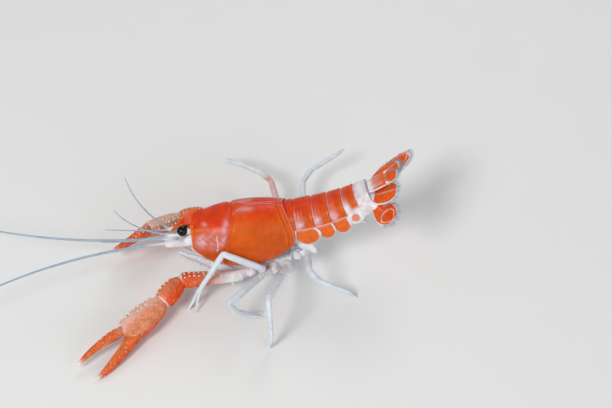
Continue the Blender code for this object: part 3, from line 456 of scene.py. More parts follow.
def mixed(first, second, mask):
    """Tints, or the names of colours, mixed from the first at mask 0 to the second at mask 1."""
    first, second = (colour(tone) if isinstance(tone, str) else tone for tone in (first, second))
    share = np.clip(np.asarray(mask, float), 0, 1)[..., None]
    return first * (1 - share) + second * share


def painted(tint, *coats):
    """A tint under coats, each the name of a colour and the mask that it goes on by."""
    for name, mask in coats:
        tint = mixed(tint, name, mask)
    return tint


def flow(stations, values, at):
    """Values read off a smooth curve through their stations, with no overshoot."""
    x = np.asarray(stations, float)
    y = np.asarray(values, float)
    single = y.ndim == 1
    y = y[:, None] if single else y
    step = np.diff(x)[:, None]
    slope = np.diff(y, axis=0) / step
    tangent = np.empty_like(y)
    tangent[0], tangent[-1] = slope[0], slope[-1]
    before, after = slope[:-1], slope[1:]
    agree = before * after > 0
    total = np.where(agree, before + after, 1.0)
    tangent[1:-1] = np.where(agree, 2 * before * after / total, 0.0)
    at = np.clip(np.asarray(at, float), x[0], x[-1])
    i = np.clip(np.searchsorted(x, at, side="right") - 1, 0, len(step) - 1)
    t = (at[..., None] - x[i][..., None]) / step[i]
    made = (1 + 2 * t) * (1 - t) ** 2 * y[i] + t * (1 - t) ** 2 * step[i] * tangent[i]
    made += t * t * (3 - 2 * t) * y[i + 1] + t * t * (t - 1) * step[i] * tangent[i + 1]
    return made[..., 0] if single else made


def unit(vectors):
    vectors = np.asarray(vectors, float)
    return vectors / np.maximum(np.linalg.norm(vectors, axis=-1, keepdims=True), 1e-12)


def bent(x, power):
    """A power of x that keeps its sign, for squared and pinched ovals."""
    return np.sign(x) * np.abs(x) ** power


def reaches(points):
    """How far along a run of points each one lies."""
    return np.concatenate([[0.0], np.cumsum(np.linalg.norm(np.diff(points, axis=0), axis=1))])


def along_run(at, marks, points):
    return np.stack([np.interp(at, marks, points[:, axis]) for axis in range(3)], axis=-1)


def turns(count):
    """Evenly spaced angles once round."""
    return np.arange(count) * 2 * math.pi / count


def body_turn():
    turn = Matrix.Rotation(math.radians(BODY_YAW), 3, "Z")
    turn = turn @ Matrix.Rotation(-math.radians(BODY_PITCH), 3, "Y")
    return np.array(turn @ Matrix.Rotation(-math.radians(BODY_ROLL), 3, "X"))


BODY_TURN = body_turn()
TAILWARD, RIGHTWARD, OUTWARD = BODY_TURN.T
UP = np.array((0.0, 0.0, 1.0))


def at_body(u, v, w):
    """Body-frame points in the animal's world."""
    place = np.stack(np.broadcast_arrays(u, v, w), axis=-1).astype(float)
    return BODY_CENTRE + place @ BODY_TURN.T


def heading(turn, climb):
    turn, climb = math.radians(turn), math.radians(climb)
    flat = math.cos(climb)
    return np.array((flat * math.cos(turn), flat * math.sin(turn), math.sin(climb)))


class Form:
    """Closed surfaces in millimetres with a tint on each vertex, gathered for one piece."""

    def __init__(self):
        self.points = []
        self.tints = []
        self.faces = []
        self.count = 0

    def rings(self, points, tint):
        """Adds rows of rings, each closed round, with a middle point at either end."""
        points = np.asarray(points, float)
        rows, columns = points.shape[:2]
        tint = np.broadcast_to(tint, points.shape)
        index = np.arange(rows * columns).reshape(rows, columns)
        beside = np.roll(index, -1, axis=1)
        quads = np.stack([index[:-1], beside[:-1], beside[1:], index[1:]], -1).reshape(-1, 4)
        start, end = (np.full(columns, rows * columns + k) for k in (0, 1))
        caps = [np.stack([beside[0], index[0], start], -1), np.stack([index[-1], beside[-1], end], -1)]
        caps = np.concatenate(caps)
        places, tints = (
            np.concatenate([grid.reshape(-1, 3), [grid[0].mean(0), grid[-1].mean(0)]])
            for grid in (points, tint)
        )
        corners = np.concatenate([quads[:, [0, 1, 2]], quads[:, [0, 2, 3]], caps])
        a, b, c = (places[corners[:, k]] - places[0] for k in range(3))
        if np.einsum("ij,ij->i", a, np.cross(b, c)).sum() < 0:
            quads, caps = quads[:, ::-1], caps[:, ::-1]
        self.points.append(places)
        self.tints.append(tints)
        self.faces += (quads + self.count).tolist() + (caps + self.count).tolist()
        self.count += len(places)

    def plate(self, top, bottom, tint):
        """Adds a closed plate between two grids of points."""
        sides = ((top, bottom), (tint, tint))
        self.rings(*(np.concatenate([up, down[:, ::-1]], axis=1) for up, down in sides))


def link(made, nodes):
    """Ties a finished object to the frame, and hides the solids that it stands for."""
    bpy.context.scene.collection.objects.link(made)
    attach(made, "root")
    if nodes:
        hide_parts(*nodes)


def make_piece(form, name, material, node, sharp=55):
    mesh = bpy.data.meshes.new(name)
    places = (np.concatenate(form.points) - FOOTPRINT_CENTRE) * MM
    mesh.from_pydata(places.tolist(), [], form.faces)
    values = np.pad(np.concatenate(form.tints), ((0, 0), (0, 1)), constant_values=1.0)
    mesh.attributes.new("tint", "FLOAT_COLOR", "POINT").data.foreach_set("color", values.ravel())
    mesh.materials.append(materials[material])
    mesh.shade_smooth()
    mesh.set_sharp_from_angle(angle=math.radians(sharp))
    link(bpy.data.objects.new(name, mesh), [node])


class Tube:
    """A smooth oval tube through stations, each a point with its wide and thin radius."""

    def __init__(self, stations, side):
        self.points = np.array([station[0] for station in stations], float)
        self.radii = np.array([station[1:3] for station in stations], float)
        self.marks = reaches(self.points)
        self.length = self.marks[-1]
        self.side = np.asarray(side, float)

    def frame(self, share):
        """Centre, direction, side and upper directions and radii at shares of the length."""
        at = np.asarray(share, float) * self.length
        centre, ahead, behind = (
            flow(self.marks, self.points, np.clip(at + step, 0, self.length))
            for step in (0, 0.05, -0.05)
        )
        along = unit(ahead - behind)
        across = unit(self.side - (along @ self.side)[..., None] * along)
        return centre, along, across, np.cross(along, across), flow(self.marks, self.radii, at)

    def at(self, share, angle, lift=0.0):
        """Points of the skin and the way out of it, with the angle from the side direction."""
        centre, _, across, over, radii = self.frame(share)
        cos, sin = np.cos(angle)[..., None], np.sin(angle)[..., None]
        wide, thin = radii[..., :1] + lift, radii[..., 1:] + lift
        out = unit(across * cos / wide + over * sin / thin)
        return centre + across * cos * wide + over * sin * thin, out

    def skin(self, form, tint, rows, sides, domes=(0.5, 0.5), lift=None):
        """Adds rows of rings with domed ends. Tint is a colour's name, or like lift a function
        of share and angle."""
        share, angle = np.broadcast_arrays(np.linspace(0, 1, rows)[:, None], turns(sides)[None])
        raised = lift(share, angle)[..., None] if lift else 0.0
        rings, _ = self.at(share, angle, raised)
        tints = tint(share, angle) if callable(tint) else np.broadcast_to(colour(tint), rings.shape)
        parts, tones = [rings], [tints]
        centre, along, _, _, _ = self.frame(np.array((0.0, 1.0)))
        quarter = np.linspace(0, math.pi / 2, 5)[1:-1, None, None]
        for end, sign in ((0, -1), (-1, 1)):
            cap = centre[end] + (rings[end] - centre[end]) * np.cos(quarter)
            cap = cap + sign * along[end] * domes[end] * np.sin(quarter)
            tone = np.broadcast_to(tints[end], cap.shape)
            parts = [cap[::-1]] + parts if sign < 0 else parts + [cap]
            tones = [tone] + tones if sign < 0 else tones + [tone]
        form.rings(np.concatenate(parts), np.concatenate(tones))


def segment(start, stop, rows, radius=1.0, side=0.0):
    """Stations of a run between two points, from one of the tables at the top."""
    return [
        (start + (stop - start) * share + side * sum(step), wide * radius, thin * radius)
        for share, wide, thin, *step in rows
    ]


def body_tube(rows, sign, side=OUTWARD):
    """A tube on one side of the body, from a table of places in the body frame."""
    return Tube([(at_body(u, sign * v, w), wide, thin) for u, v, w, wide, thin in rows], side)


def add_spine(form, root, toward, long, radius, tone):
    """A short pointed spine whose root is sunk in the skin."""
    aim = unit(toward)
    stations = segment(root, root + aim * long, SPINE, radius, aim * radius)
    Tube(stations, (0.31, 0.62, 0.72)).skin(form, tone, 7, 9, (0.1, 0.05))


def oval(angle, half_width, up, down):
    """The shield's section: rounder on the back and squarer on the flanks."""
    rising = np.sin(angle) >= 0
    power = 2 / np.where(rising, BACK_SQUARENESS, FLANK_SQUARENESS)
    height = np.where(rising, up, down)
    return half_width * bent(np.cos(angle), power), height * bent(np.sin(angle), power)


def below(angle):
    return np.maximum(0.0, -np.sin(angle))


def groove_u(angle):
    return GROOVE_BACK - GROOVE_SWEEP * (0.5 - 0.5 * np.sin(angle)) ** 0.75


def rear_u(angle):
    flank = REAR_FLANK * (1 - np.maximum(0.0, np.sin(angle)) ** 2)
    return flank + (REAR_BELLY - REAR_FLANK) * below(angle) ** 3


def front_u(angle):
    return FRONT_FLANK + (FRONT_BELLY - FRONT_FLANK) * below(angle) ** 1.5


def shield_section(u, angle, scale=1.0):
    """Side and height of the shield's skin, and the way out of it in the body frame."""
    half, up, down = (
        flow(SHIELD_STATIONS, values, u) * scale
        for values in (SHIELD_HALF_WIDTH, SHIELD_BACK, SHIELD_DEPTH)
    )
    v, w = oval(angle, half, up, down)
    height = np.where(w > 0, up, down)
    return v, w, unit(np.stack([0 * v, v / half**2, w / height**2], axis=-1))


def shield_strip(start, stop, rows, sides):
    """Places, angles and section of the shield's skin between two of its edges."""
    angle = np.linspace(0, 2 * math.pi, sides, endpoint=False) + math.pi / 2
    share = np.linspace(0, 1, rows)[:, None]
    u = start(angle) * (1 - share) + stop(angle) * share
    angle = np.broadcast_to(angle, u.shape)
    return u, angle, *shield_section(u, angle)


def edge_ring(edge, angle, scale, shift):
    """One ring that follows a shield edge, drawn in by scale and moved along u."""
    u = edge(angle)
    v, w, _ = shield_section(u, angle, scale)
    return at_body(u + shift, v, w)[None]


def shield_form(before, skin, after, tint, tones):
    """One shield plate between the rings that draw its edges in, with a tone for each edge. These tones
    are darker copies of the shell's colours, painted shade where the edges turn in.
    """
    near, far = (
        np.broadcast_to(tone, (len(rings), *skin.shape[1:]))
        for tone, rings in zip(tones, (before, after))
    )
    form = Form()
    form.rings(np.concatenate([*before, skin, *after]), np.concatenate([near, tint, far]))
    return form


def make_head():
    u, angle, v, w, out = shield_strip(front_u, groove_u, 120, 260)
    to_front, to_groove = u - front_u(angle), groove_u(angle) - u
    upper = soft(w, 0.0, 1.5)
    ridge_v = np.interp(u, (-32.4, -27.6), (4.7, 6.2))
    ridge = hump(np.abs(v), ridge_v, 0.42) * window(u, -33.2, -26.6, 2.4) * upper
    lift = 0.15 * hump(to_front, 0.3, 0.35) - 0.65 * hump(to_groove, 0, 0.8) + 0.4 * ridge
    lift += 0.3 * hump(u, -27.0, 3.2) * hump(w, 1.0, 3.6)
    lift -= 0.25 * hump(v, 0, 2.2) * soft(u, -26.0, -31.0) * upper
    lift -= 0.18 * hump(u, -25.4 - 0.25 * w, 0.5) * window(w, -4.0, 5.0, 2.0)
    patchy = 0.3 + 0.7 * mottle(u, w)
    cheek = hump(u, -29.8 + 0.25 * (w - 3.0), 1.8) * hump(w, 2.7, 2.5)
    band = hump(to_groove, 1.7, 1.2) * window(w, 0.5, 11.2, 3.0)
    zone = hump(u, -25.6, 2.6) * window(w, -2.0, 8.5, 3.5)
    tint = painted(
        "flank",
        ("back", soft(w, 4.0, 9.0)),
        ("margin", 0.75 * soft(w, -2.5, -6.0)),
        ("lilac", 1.1 * cheek * patchy),
        ("lilac", (0.7 * band + 0.42 * zone) * patchy),
        # This small pale spot high on each side of the head is a painted highlight.
        ("lilac", 0.5 * hump(u, -28.2, 0.9) * hump(w, 8.2, 0.5)),
        # The paler orange along the postorbital ridge is a painted highlight.
        ("margin", 0.8 * ridge),
        ("tubercle", 0.75 * hump(u, -24.2, 0.17) * window(w, 0.2, 6.2, 1.6)),
        ("margin", 0.8 * hump(to_front, 0.2, 0.5)),
        ("cream", soft(below(angle), 0.93, 0.985)),
    )
    skin = at_body(u, v, w) + (lift[..., None] * out) @ BODY_TURN.T
    rim = angle[0]
    face_v, face_w, _ = shield_section(np.full_like(rim, FACE_U), rim, 0.86)
    face = [at_body(FACE_U, face_v, face_w)[None]]
    face += [edge_ring(front_u, rim, 0.9, 0.9), edge_ring(front_u, rim, 0.955, 0.1)]
    # The face and the inturned edge at the groove are darker copies of cream and back: painted shade on
    # the face and inside the cervical groove.
    tones = (colour("cream") * 0.75, colour("back") * 0.5)
    form = shield_form(face, skin, [edge_ring(groove_u, rim, 0.9, 0.1)], tint, tones)
    add_rostrum(form)
    for _, sign in SIDES:
        v, w, _ = shield_section(np.array(-24.4), np.array(math.pi / 2 - sign * math.radians(88)))
        root = at_body(-24.4, v, w)
        add_spine(form, root, root - at_body(-22.6, 0, w), 1.3, 0.42, "tubercle")
        root = at_body(-32.3, sign * 4.75, 7.95)
        add_spine(form, root, at_body(-34.2, sign * 4.5, 8.5) - root, 1.5, 0.4, "margin")
    make_piece(form, "head_plate", "shield", "head_shield")


def add_rostrum(form):
    """The beak: hollow on top between raised edges, with a spine each side of its tip."""
    table = np.array(ROSTRUM)
    u = np.linspace(table[0, 0], table[-1, 0], 60)
    half, top, thick = flow(-table[:, 0], table[:, 1:], -u).T[..., None]
    x = np.linspace(-1, 1, 33)[None]
    upper = top - 0.34 * half * (1 - np.abs(x) ** 2.6) + 0.1 * hump(np.abs(x), 0.93, 0.1)
    lower = top - thick * (1 - np.abs(x) ** 4) - 0.2 * half * (1 - x * x)
    u = np.broadcast_to(u[:, None], upper.shape)
    edge = hump(np.abs(x), 0.95, 0.16) * soft(u, -29.5, -32.0)
    tint = painted(
        "back",
        ("margin", 0.75 * edge + 0.5 * soft(u, -36.0, -40.0)),
        ("tubercle", 0.6 * soft(u, -39.9, -40.6)),
        ("lilac", 0.12 * (1 - edge) * window(u, -36.0, -31.0, 2.0)),
    )
    form.plate(at_body(u, half * x, upper), at_body(u, half * x, lower), tint)
    for _, sign in SIDES:
        root = at_body(-36.2, sign * 1.95, 7.2)
        add_spine(form, root, at_body(-38.0, sign * 1.9, 6.5) - root, 1.3, 0.36, "margin")


def make_thorax():
    u, angle, v, w, out = shield_strip(groove_u, rear_u, 170, 300)
    to_rear, to_groove = rear_u(angle) - u, u - groove_u(angle)
    upper = soft(w, 0.0, 1.5)
    side = soft(below(angle), 0.97, 0.85)
    areola = hump(np.abs(v), flow(AREOLA_U, AREOLA_HALF, u), 0.2) * upper
    ridges = (hump(to_rear, 1.35, 0.22) + hump(to_rear, 2.9, 0.2)) * side
    lift = -0.6 * hump(to_groove, 0, 0.8) - 0.16 * areola + 0.14 * ridges
    lift += 0.12 * hump(to_rear, 0.2, 0.3) - 0.14 * hump(to_rear, 2.1, 0.4) * side
    lift -= 0.22 * hump(below(angle), 0.9, 0.02)
    tint = painted(
        "flank",
        ("back", soft(w, 6.5, 11.2)),
        ("margin", 0.4 * soft(w, -3.0, -8.5) + 0.25 * hump(u, -16.0, 5.0) * upper),
        ("lilac", 0.45 * areola),
        ("lilac", 0.42 * hump(np.abs(v), 2.6, 1.1) * window(u, -17.5, -9.0, 3.0) * upper),
        ("margin", 0.55 * ridges),
        ("lilac", 0.25 * hump(to_rear, 0.1, 0.35) * side),
        ("cream", soft(below(angle), 0.93, 0.985)),
    )
    skin = at_body(u, v, w) + (lift[..., None] * out) @ BODY_TURN.T
    rim = angle[0]
    rear = [edge_ring(rear_u, rim, 0.955, -0.05), edge_ring(rear_u, rim, 0.9, -1.0)]
    # The inturned edge at the groove and the rear lip are darker copies of back and cream: painted
    # shade inside the groove and under the rear edge.
    tones = (colour("back") * 0.5, colour("cream") * 0.8)
    form = shield_form([edge_ring(groove_u, rim, 0.9, -0.1)], skin, rear, tint, tones)
    make_piece(form, "thorax_plate", "shield", "thorax_shield")


def make_sternum():
    """The pale keel between the legs, with a step between the plates of each pair."""
    table = np.array(STERNUM)
    u = np.linspace(table[0, 0], table[-1, 0], 150)[:, None]
    half, roof, floor = np.moveaxis(flow(table[:, 0], table[:, 1:], u[:, 0]), 1, 0)[..., None]
    side, rise = (bent(wave(turns(40))[None], 0.5) for wave in (np.cos, np.sin))
    seam = np.cos((u - HIPS[2][0]) * 2 * math.pi / SEAM_SPACE) * SEAM_RISE
    w = (roof + floor) / 2 + (roof - floor) / 2 * rise - np.where(rise < -0.5, seam, 0.0)
    form = Form()
    form.rings(at_body(u, half * side, w), mixed("cream", "limb", 0.5 + 0.5 * seam / SEAM_RISE + 0 * w))
    make_piece(form, "sternum", "skin", "thorax_underside")


def tail_path():
    """Place and tilt of the abdomen's axis in the body's middle plane, in small steps."""
    at = np.arange(0, SOMITE_ENDS[-1] + 0.6, AXIS_STEP)
    tilt = np.radians(np.interp(at, AXIS_STATIONS, AXIS_TILTS))
    u, w = (
        start + np.concatenate([[0], np.cumsum(wave(tilt[:-1]) * AXIS_STEP)])
        for start, wave in zip(ABDOMEN_START, (np.cos, np.sin))
    )
    return at, tilt, u, w


TAIL_PATH = tail_path()


def at_tail(at, v, height):
    """A point of the abdomen at v to the side and height above its axis."""
    tilt, u, w = (np.interp(at, TAIL_PATH[0], values) for values in TAIL_PATH[1:])
    return at_body(u - height * np.sin(tilt), v, w + height * np.cos(tilt))


def somite_rings(number, share):
    """Rings of one somite: arched back plate, side lobes and the thin belly skin between."""
    start, stop = SOMITE_ENDS[number - 1], SOMITE_ENDS[number]
    at = start + (stop - start) * share
    inside = np.clip(share, 0, 1)
    swell = flow((0, 0.14, 0.2, 0.5, 0.9, 1.0), (0.955, 0.97, 0.985, 0.995, 1.0, 1.012), inside)
    half = flow(AXIS_STATIONS, ABDOMEN_HALF_WIDTHS, at) * swell
    tall = flow(AXIS_STATIONS, ABDOMEN_HEIGHTS, at) * swell
    lobe = np.maximum(0.0, 1 - np.abs(2 * inside - 1.08) ** 2.4)
    deep = PLEURON_EDGE + (PLEURON_DEPTHS[number - 1] - PLEURON_EDGE) * lobe
    turn = np.linspace(0, math.pi, ARCH_POINTS)[None]
    power = 2 / 2.3
    down = np.linspace(0, 1, LOBE_POINTS + 1)[1:][None]
    side_v = half * (1.0 + 0.03 * np.sin(math.pi * down) - 0.07 * down**2)
    side_h = -deep * down
    inner_v = half * LOBE_INSETS[None]
    inner_h = -deep + (deep - STERNUM_DEPTH) * LOBE_RISES[None]
    belly = np.linspace(0.66, -0.66, BELLY_POINTS)[None]
    belly_h = -STERNUM_DEPTH - 0.4 * (1 - (belly / 0.7) ** 2) + 0 * half
    arch_v, arch_h = half * bent(np.cos(turn), power), tall * np.sin(turn) ** power
    mirrored = (inner_v[:, ::-1], side_v[:, ::-1])
    v = np.concatenate([arch_v, -side_v, -inner_v, -half * belly, *mirrored], axis=1)
    h = np.concatenate([arch_h, side_h, inner_h, belly_h, inner_h[:, ::-1], side_h[:, ::-1]], axis=1)
    lobe_start, lobe_stop = LOBES[number - 1]
    drift = (lobe_start - start) * (1 - share) + (lobe_stop - stop) * share
    return at + drift * soft(h, 0.5, -2.5), v, h, deep


def somite_tint(number, share, h, deep, zones):
    """The colours of one somite: red above, orange below, lilac clouds and pale lobe edges."""
    height = h / 6.5
    streak = hump(share, 0.12, 0.06) + 0.55 * hump(share, 0.3, 0.05) + 0.3 * hump(share, 0.48, 0.04)
    blotch = 0.45 + 0.75 * mottle(4.0 * share + number, 6.0 * height)
    cloud = hump(height, 0.3, 0.22) * hump(share, 0.22, 0.26) * (1.0 if number > 1 else 0.5)
    tint = painted(
        "tergum",
        ("back", soft(height, 0.55, 1.0)),
        ("lilac", 0.6 * streak * blotch * window(height, 0.1, 1.0, 0.25)),
        ("lilac", 1.3 * cloud * blotch),
        ("cream", 0.9 * soft(share, 0.62, 0.2) * soft(height, 0.85, 0.4) * (number == 5)),
        ("cream", 0.8 * soft(height, 0.35, 0.1) * (number == 5)),
    )
    if number == 6:
        pale = soft(share + 0.5 * (0.5 - height) + 0.25 * blotch, 0.0, 0.4)
        tint = mixed(tint, mixed("lilac", "cream", blotch), 0.94 * pale)
    tint = mixed(tint, "margin", 0.4 * hump(share, 0.97, 0.04) * soft(height, 0.0, 0.3) * (number < 6))
    depth = -h / deep
    filled = window(share, 0.0, 1.0, 0.09) * window(depth, 0.0, 1.0, 0.1)
    if number >= 5:
        spot = np.hypot((share - 0.5) / 0.3, (depth - 0.42) / 0.36)
        filled = soft(spot, 1.15, 0.75) * (0.85 if number == 5 else 0.15)
    tint = np.where((zones == 1)[None, :, None], mixed("cream", "pleuron", filled), tint)
    tint = mixed(tint, "cream", 0.6 * hump(h, 0.1, 0.18) * (zones < 2)[None])
    return np.where((zones == 2)[None, :, None], colour("cream"), tint)


def make_somite(number):
    share = np.linspace(-0.05 if number > 1 else 0.0, 1.05, 60)[:, None]
    at, v, h, deep = somite_rings(number, share)
    under = 2 * len(LOBE_INSETS) + BELLY_POINTS
    zones = np.repeat((0, 1, 2, 1), (ARCH_POINTS, LOBE_POINTS, under, LOBE_POINTS))
    keep = 1 - 0.16 * hump(share, 0.2, 0.05) * (zones == 0)[None] / 6.5
    form = Form()
    form.rings(at_tail(at, v * keep, h * keep), somite_tint(number, share, h, deep, zones))
    if 2 <= number <= 5:
        add_swimmerets(form, number)
    if number == 1:
        for _, sign in SIDES:
            body_tube(FLAP, sign, TAILWARD).skin(form, "cream", 26, 20)
    make_piece(form, f"somite_{number}", "tail", f"abdomen_{number}")


def somite_middle(number):
    return (SOMITE_ENDS[number - 1] + SOMITE_ENDS[number]) / 2


def add_swimmerets(form, number):
    """A pair of two-bladed paddles that hang back under a somite."""
    for _, sign in SIDES:
        for blade in (0, 1):
            stations = []
            for share, wide in SWIMMERET:
                out = sign * (3.5 + 0.9 * share - blade * share * 1.3)
                drop = -STERNUM_DEPTH + 0.6 - 5.0 * share + 0.5 * blade
                at = somite_middle(number) - 1.6 + 3.1 * share
                stations.append((at_tail(at, out, drop), wide, 0.26))
            Tube(stations, TAILWARD).skin(form, "cream", 18, 14, (0.2, 0.2))


def fan_frame(base, tip, roll):
    """Axes of a fan plate: along it, across it and out of its upper side."""
    along = unit(tip - base)
    over = unit(OUTWARD - (OUTWARD @ along) * along)
    turn = math.radians(roll)
    turned = np.cross(over, along) * math.cos(turn) + over * math.sin(turn)
    return np.array((along, turned, np.cross(along, turned)))


def fan_plate(name):
    """One fan plate: its hinge, axes and grid, as shares and as places in its axes."""
    base, tip, roll, shape = FAN_PLATES[name]
    base, tip = at_body(*base), at_body(*tip)
    outer, inner = FAN_SHAPES[shape][:: 1 if name.endswith("left") else -1]
    share, across = np.broadcast_arrays(
        np.linspace(0, 1, FAN_ROWS)[:, None], np.linspace(0, 1, FAN_COLUMNS)[None]
    )
    left, right = (flow(np.linspace(0, 1, len(outer)), half, share) for half in (inner, outer))
    rim = 1 - (2 * across - 1) ** 2
    reach = np.linalg.norm(tip - base) * share
    reach = reach - 0.5 * (1 - rim) * share + 0.35 * rim * soft(share, 0.8, 1.0)
    dome = 0.6 * rim * (0.4 + 0.6 * share)
    grid = (reach, -right + (left + right) * across, dome)
    return base, fan_frame(base, tip, roll), share, across, rim, grid


def fan_tint(name, share, across):
    """Orange plates with pale borders and lengthwise streaks, whiter at the hinge."""
    tint = mixed("fan", "pleuron", 0.5 * hump(share, 0.6, 0.3))
    if name == "telson":
        streaks = np.sin(across * math.pi * 7) ** 4
        coats = (
            ("cream", 0.75 * streaks * soft(share, 0.62, 0.2)),
            ("lilac", 0.3 * hump(share, 0.62, 0.03)),
            ("cream", soft(share, 0.24, 0.05)),
        )
    elif "outer" in name:
        ring = np.hypot((share - 0.74) / 0.21, (across - 0.48) / 0.34)
        midrib = 0.25 * hump(across, 0.5, 0.03) * soft(share, 0.5, 0.4)
        coats = (
            ("back", 0.35 * soft(ring, 1.0, 0.4)),
            ("cream", 0.7 * hump(ring, 1.0, 0.065)),
            ("cream", 0.6 * soft(share, 0.12, 0.0) + midrib),
        )
    else:
        coats = (("cream", 0.7 * soft(share, 0.2, 0.02) + 0.3 * hump(across, 0.5, 0.035)),)
    edge = np.minimum(across, 1 - across) * 2
    border = np.maximum(soft(edge, 0.13, 0.04), soft(share, 0.95, 0.99))
    return painted(tint, *coats, ("cream", 0.9 * border))


def make_fan_plate(name):
    base, axes, share, across, rim, (reach, y, dome) = fan_plate(name)
    ribs = 0.06 * np.abs(np.sin(across * math.pi * 9)) * soft(share, 0.15, 0.5)
    if name == "telson":
        keels = hump(across, 0.27, 0.04) + hump(across, 0.73, 0.04)
        ribs = ribs + 0.2 * keels * soft(share, 0.9, 0.5) - 0.18 * hump(share, 0.62, 0.02)
    else:
        ribs = ribs + 0.16 * hump(across, 0.5, 0.035)
    if "outer" in name:
        ribs = ribs - 0.22 * hump(share, 0.56, 0.015) + 0.12 * hump(share, 0.53, 0.02)
    thick = 0.62 * (1 - 0.35 * share) * np.maximum(rim, 0.0) ** 0.35 * (1 - 0.6 * soft(share, 0.9, 1.0))
    faces = (dome + thick / 2 + ribs * (rim > 0.05), dome - thick / 2)
    top, bottom = (base + np.stack([reach, y, face], -1) @ axes for face in faces)
    form = Form()
    form.plate(top, bottom, fan_tint(name, share, across))
    if name == "telson":
        for _, side in SIDES:
            for out in (3.55, 2.85):
                root = base + np.array((reach[TELSON_SPINES], side * out, 0.45)) @ axes
                add_spine(form, root, np.array((1.0, side * 0.3, 0.1)) @ axes, 1.4, 0.25, "tubercle")
    else:
        hinge = ((0, 1.5, 1.3, -2.6), (0, 2.1, 1.6, -0.8), (0, 1.7, 0.9, 1.3))
        Tube(segment(base, base, hinge, 1.0, axes[0]), axes[1]).skin(form, "cream", 16, 20, (0.4, 0.3))
    make_piece(form, f"{name}_plate", "fan", name, sharp=70)


def joint_tint(base, tone, near=0.06):
    """The tint of a limb in one colour, with another at both of its joints."""

    def tint(share, angle):
        return mixed(base, tone, 0.55 * (soft(share, near, 0.0) + soft(share, 1 - near, 1.0)))

    return tint


def hip_place(number, sign):
    u, half, w = HIPS[number]
    return at_body(u, sign * (half + GAP), w)


def leg_joints(word, sign, number):
    joints = [hip_place(number, sign)]
    leg = f"{word}_{number}"
    for reach, (turn, climb) in zip(LEG_LENGTHS[number], LEG_POSES[leg]):
        joints.append(joints[-1] + heading(turn, climb) * reach)
    if leg not in RAISED_LEGS:
        joints[-1][2] = 0.0
    return joints


def make_leg(word, sign, number):
    """A walking leg: hip joints and merus in one piece, carpus to foot in the other."""
    leg = f"{word}_{number}"
    hip, ischium, knee, wrist, finger, tip = leg_joints(word, sign, number)
    out = sign * RIGHTWARD
    coxa, merus, carpus, propodus, dactyl = LEG_RADII
    bend = hip * 0.4 + ischium * 0.6 + out * 0.3
    toward, down, palm, reach = (
        unit(far - near)
        for near, far in ((ischium, knee), (knee, wrist), (wrist, finger), (finger, tip))
    )
    warm = 1.0 if leg == FLUSHED_LEG else 0.0
    form = Form()
    run = segment(hip, bend, COXA, coxa, out)
    Tube(run, UP).skin(form, joint_tint("cream", "limb"), 22, 24, (0.3, 0.6))
    run = [
        (hip + out * 1.4, coxa * 0.72, coxa * 0.72),
        (bend, coxa * 0.84, coxa * 0.84),
        (ischium - toward * 0.2, merus * 0.92, merus * 0.86),
    ]
    Tube(run, UP).skin(form, joint_tint("cream", "limb"), 22, 22, (0.3, 0.5))

    def merus_tint(share, angle):
        flush, root = 0.5 * warm * soft(share, 0.3, 0.9), 0.25 * soft(share, 0.3, 0.0)
        return painted("limb", ("finger", flush), ("lilac", root))

    def carpus_tint(share, angle):
        flush, root = 0.55 * warm * soft(share, 0.8, 0.1), 0.18 * soft(share, 0.3, 0.0)
        return mixed("limb", "finger", flush + root)

    Tube(segment(ischium, knee, MERUS, merus, toward), UP).skin(form, merus_tint, 44, 24, (0.3, 0.5))
    if number in (3, 4):
        root = hip * 0.2 + ischium * 0.8 + TAILWARD * coxa * 0.6
        add_spine(form, root, TAILWARD + out * 0.6, 2.1, 0.42, "cream")
    make_piece(form, f"leg_{leg}_thigh", "limb", f"leg_{leg}_upper")

    form = Form()
    Tube(segment(knee, wrist, CARPUS, carpus, down), UP).skin(form, carpus_tint, 30, 22, (0.3, 0.4))
    run = segment(wrist, finger, PROPODUS, propodus, palm)
    run.append((finger + palm * 0.2, dactyl * 0.8, dactyl * 0.75))
    Tube(run, UP).skin(form, joint_tint("limb", "cream"), 34, 20, (0.3, 0.4))
    raised = leg in RAISED_LEGS
    foot, hook = (FOOT_RADIUS * 0.7, reach) if raised else (FOOT_RADIUS, -UP)
    run = [
        (finger - palm * 0.2, dactyl * 0.8, dactyl * 0.8),
        (finger + reach * 0.8, dactyl * 0.96, dactyl * 0.92),
        (finger * 0.5 + tip * 0.5, dactyl * 0.72, dactyl * 0.68),
        (tip - hook * 0.35, foot, foot),
        (tip - hook * 0.12, foot * 0.85, foot * 0.85),
    ]
    Tube(run, (1.0, 0.3, 0)).skin(form, joint_tint("limb", "cream"), 26, 16, (0.2, 0.1))
    if leg in FINGER_SPREAD:
        aside = heading(LEG_POSES[leg][4][0] + 90, 0) * FINGER_SPREAD[leg]
        end = finger * 0.14 + tip * 0.86 + aside
        run = [
            (wrist * 0.4 + finger * 0.6, propodus * 0.7, propodus * 0.6),
            (finger * 0.95 + wrist * 0.05 + aside * 0.3, propodus * 0.66, propodus * 0.6),
            (finger * 0.5 + end * 0.5 + aside * 0.12, propodus * 0.48, propodus * 0.44),
            (end, 0.16, 0.16),
        ]
        Tube(run, UP).skin(form, joint_tint("limb", "cream"), 24, 14, (0.3, 0.15))
    make_piece(form, f"leg_{leg}_foot", "limb", f"leg_{leg}_lower")


class Arm:
    """The joints, size and directions of one cheliped."""

    def __init__(self, word, sign):
        self.word, self.sign, self.scale = word, sign, ARM_SCALES[word]
        for joint, place in ARM_JOINTS[word].items():
            setattr(self, joint, np.array(place))
        self.along = unit(self.knuckle - self.wrist)
        self.side = unit(self.mesial - (self.mesial @ self.along) * self.along)

    def finish(self, form, name, node):
        make_piece(form, f"claw_{self.word}_{name}", "claw", f"claw_{self.word}_{node}")


